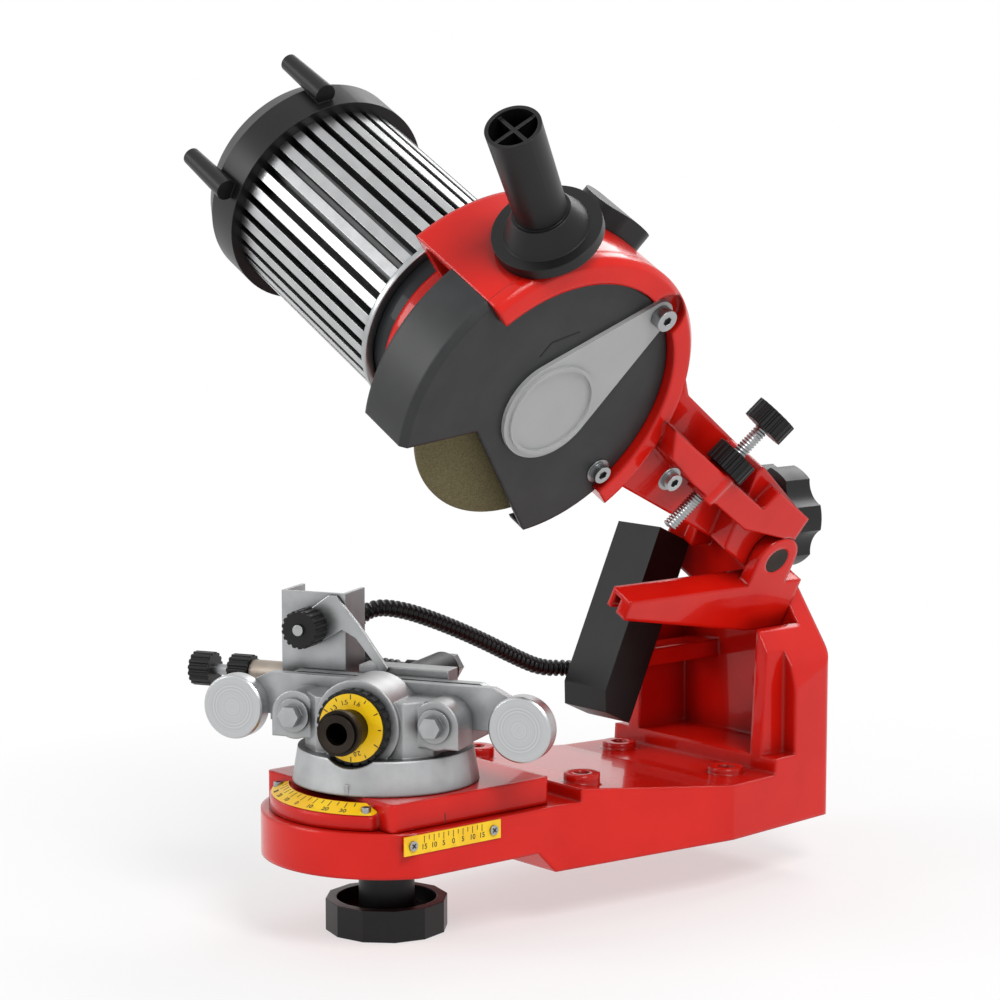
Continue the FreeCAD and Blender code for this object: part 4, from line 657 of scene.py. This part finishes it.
for degrees in range(-35, 36, 5):
    if degrees % 10 == 0:
        add_line(shape, BAND_LINE_MM, BAND_LONG_MM, on_band(degrees, LONG_AT))
        add_figure(shape, str(abs(degrees)), BAND_FIGURE_MM, on_band(degrees, FIGURE_AT))
    else:
        add_line(shape, BAND_LINE_MM, BAND_SHORT_MM, on_band(degrees, SHORT_AT))
finish_piece("swivel_scale_marks", shape, black_ink, "saddle")

# %% Dial marks
DIAL_AHEAD_MM, LINE_RADIUS_MM, FIGURE_RADIUS_MM = 4.1, 16.5, 13.6
DIAL_LINE_MM, DIAL_LONG_MM, DIAL_SHORT_MM, DIAL_FIGURE_MM = 0.5, 2.6, 1.8, 3.4
DIAL_FIGURES = ((-75, "1.1"), (-45, "1.3"), (-15, "1.5"), (15, "1.6"), (165, "2.0"))
dial_middle = Vector(joints["dial_turn"]["pos_m"]) + front * DIAL_AHEAD_MM * MM
shape = bmesh.new()


def on_dial(degrees, radius):
    """A place on the dial's face, upright towards the rim, its radius in millimetres."""
    angle = math.radians(degrees)
    outward = UP * math.cos(angle) + side * math.sin(angle)
    return axes_at(dial_middle + outward * radius * MM, outward.cross(front), outward)


for degrees in range(0, 360, 30):
    tall = DIAL_LONG_MM if degrees % 60 == 0 else DIAL_SHORT_MM
    add_line(shape, DIAL_LINE_MM, tall, on_dial(degrees, LINE_RADIUS_MM))
for degrees, words in DIAL_FIGURES:
    add_figure(shape, words, DIAL_FIGURE_MM, on_dial(degrees, FIGURE_RADIUS_MM))
finish_piece("dial_marks", shape, black_ink, "dial")

# %% [markdown]
# ## Small tool marks
# The four scale screws have cross recesses, and the guard carries a moulded arrow for the way the
# wheel turns. Both are shallow: each recess is painted shade, a dark sliver of ink in place of the
# hollow, and the arrow is a raised sliver in a darker nylon that paints the shade along its edges.

# %% Cross recesses
HEAD_RADIUS = 2.6 * MM
SLOT_LONG_MM, SLOT_WIDE_MM = 3.2, 0.7


def add_cross(shape, where):
    # Each recess is painted shade: two dark slivers of ink where the real screw has a hollow.
    add_line(shape, SLOT_LONG_MM, SLOT_WIDE_MM, where)
    add_line(shape, SLOT_WIDE_MM, SLOT_LONG_MM, where)


shape = bmesh.new()
low, high = (Vector(corner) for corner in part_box("side_scale_screws"))
for y in (low.y + HEAD_RADIUS, high.y - HEAD_RADIUS):
    spot = Vector((high.x, y, (low.z + high.z) / 2))
    add_cross(shape, axes_at(spot, RIGHT + UP, UP - RIGHT))
finish_piece("side_scale_recess_shade", shape, black_ink, "base")
shape = bmesh.new()
low, high = (Vector(corner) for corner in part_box("swivel_scale_screws"))
for x in (low.x + HEAD_RADIUS, high.x - HEAD_RADIUS):
    spot = Vector((x, (low.y + high.y) / 2, high.z))
    add_cross(shape, axes_at(spot, Vector((1, 0, 0)), RIGHT))
finish_piece("swivel_scale_recess_shade", shape, black_ink, "saddle")

# %% Arrow on the guard
GUARD_AHEAD, ARROW_WIDE, ARROW_THICK = 13.0 * MM, 1.1 * MM, 0.36 * MM
ARROW_MM = ((-13.5, 38.6), (2.8, 44.2)), ((-18.1, 30.6), (-13.5, 38.6))
head_up = spindle_axis.cross(RIGHT)
face_middle = spindle_middle + spindle_axis * GUARD_AHEAD
shape = bmesh.new()
for bar in ARROW_MM:
    ends = [face_middle + RIGHT * across * MM + head_up * rise * MM for across, rise in bar]
    run = ends[1] - ends[0]
    where = axes_at((ends[0] + ends[1]) / 2, run, spindle_axis.cross(run))
    size = Matrix.Diagonal((run.length, ARROW_WIDE, ARROW_THICK, 1.0))
    bmesh.ops.create_cube(shape, size=1.0, matrix=where @ size)
bmesh.ops.bevel(shape, geom=shape.edges[:], offset=0.1 * MM, affect="EDGES", segments=2,
                profile=0.5, material=-1)
# The arrow is raised for real; its darker nylon is painted shade along its raised edges.
finish_piece("guard_arrow", shape, black_nylon, "arm")

# %% [markdown]
# ## Floor, light and background
# A studio picture has a white sweep and large soft lamps. The floor is a real surface near the
# machine, where it takes the shadow, and turns into plain white further out, so that no horizon
# shows. The world is white to the camera and to reflections, and grey to everything else.

# %% Floor
FADE_FROM, FADE_TO, GLOW_NEAR = 0.22, 0.55, 0.55
FLOOR_GAP = 0.2 * MM
floor_mesh = bpy.data.meshes.new("studio_floor")
shape = bmesh.new()
bmesh.ops.create_grid(shape, x_segments=8, y_segments=8, size=6.0)
bmesh.ops.translate(shape, verts=shape.verts, vec=(0, 0, cad_box[0][2] - FLOOR_GAP))
shape.to_mesh(floor_mesh)
shape.free()
floor = bpy.data.objects.new("studio_floor", floor_mesh)
bpy.context.collection.objects.link(floor)
sweep, tree, shader, place = start("white_studio_paper")
shader.inputs["Base Color"].default_value = linear("#F2F2F2")
shader.inputs["Roughness"].default_value = 0.9
reach = add(tree, "ShaderNodeVectorMath", {"operation": "LENGTH"}, _0=place).outputs["Value"]
fade = add(tree, "ShaderNodeMapRange", Value=reach, From_Min=FADE_FROM, From_Max=FADE_TO,
           To_Min=GLOW_NEAR)
glow = add(tree, "ShaderNodeEmission", Strength=1.0)
blend = add(tree, "ShaderNodeMixShader", Fac=fade.outputs["Result"], _1=shader.outputs["BSDF"],
            _2=glow.outputs["Emission"])
tree.links.new(blend.outputs["Shader"], tree.nodes["Material Output"].inputs["Surface"])
floor.data.materials.append(sweep)
print("floor at", round(cad_box[0][2], 4), "m")

# %% World
LIGHT_GIVEN, LIGHT_SEEN = 0.42, 1.0
world = bpy.data.worlds.new("studio_world")
bpy.context.scene.world = world
world.use_nodes = True
tree = world.node_tree
sky = tree.nodes["Background"]
sky.inputs["Color"].default_value = (1.0, 1.0, 1.0, 1.0)
rays = add(tree, "ShaderNodeLightPath")
seen = add(tree, "ShaderNodeMath", {"operation": "MAXIMUM"}, _0=rays.outputs["Is Camera Ray"],
           _1=rays.outputs["Is Glossy Ray"]).outputs["Value"]
seen = add(tree, "ShaderNodeMath", {"operation": "MAXIMUM"}, _0=seen,
           _1=rays.outputs["Is Transmission Ray"]).outputs["Value"]
tree.links.new(span(tree, seen, LIGHT_GIVEN, LIGHT_SEEN), sky.inputs["Strength"])
print("world gives", LIGHT_GIVEN, "and shows", LIGHT_SEEN)

# %% [markdown]
# Three area lamps make the light: a large key above and to the right of the camera, a fill on the
# left that lifts the motor and the guard, and a strip behind that draws the upper edges.

# %% Lamps
def lamp(name, spot, target, size, power):
    data = bpy.data.lights.new(name, "AREA")
    data.shape = "RECTANGLE"
    data.size, data.size_y = size
    data.energy = power
    made = bpy.data.objects.new(name, data)
    made.location = spot
    made.rotation_euler = (Vector(target) - Vector(spot)).to_track_quat("-Z", "Y").to_euler()
    bpy.context.collection.objects.link(made)


lamp("key_lamp", (1.5, -0.5, 1.6), (0.0, -0.05, 0.15), (0.8, 0.8), 26.0)
lamp("fill_lamp", (-0.9, -1.7, 0.9), (0.0, -0.05, 0.2), (0.9, 0.7), 12.0)
lamp("rim_lamp", (-0.4, 1.5, 1.5), (0.0, 0.0, 0.2), (1.4, 0.6), 14.0)
bpy.context.scene.view_settings.view_transform = "Standard"
print("3 lamps")
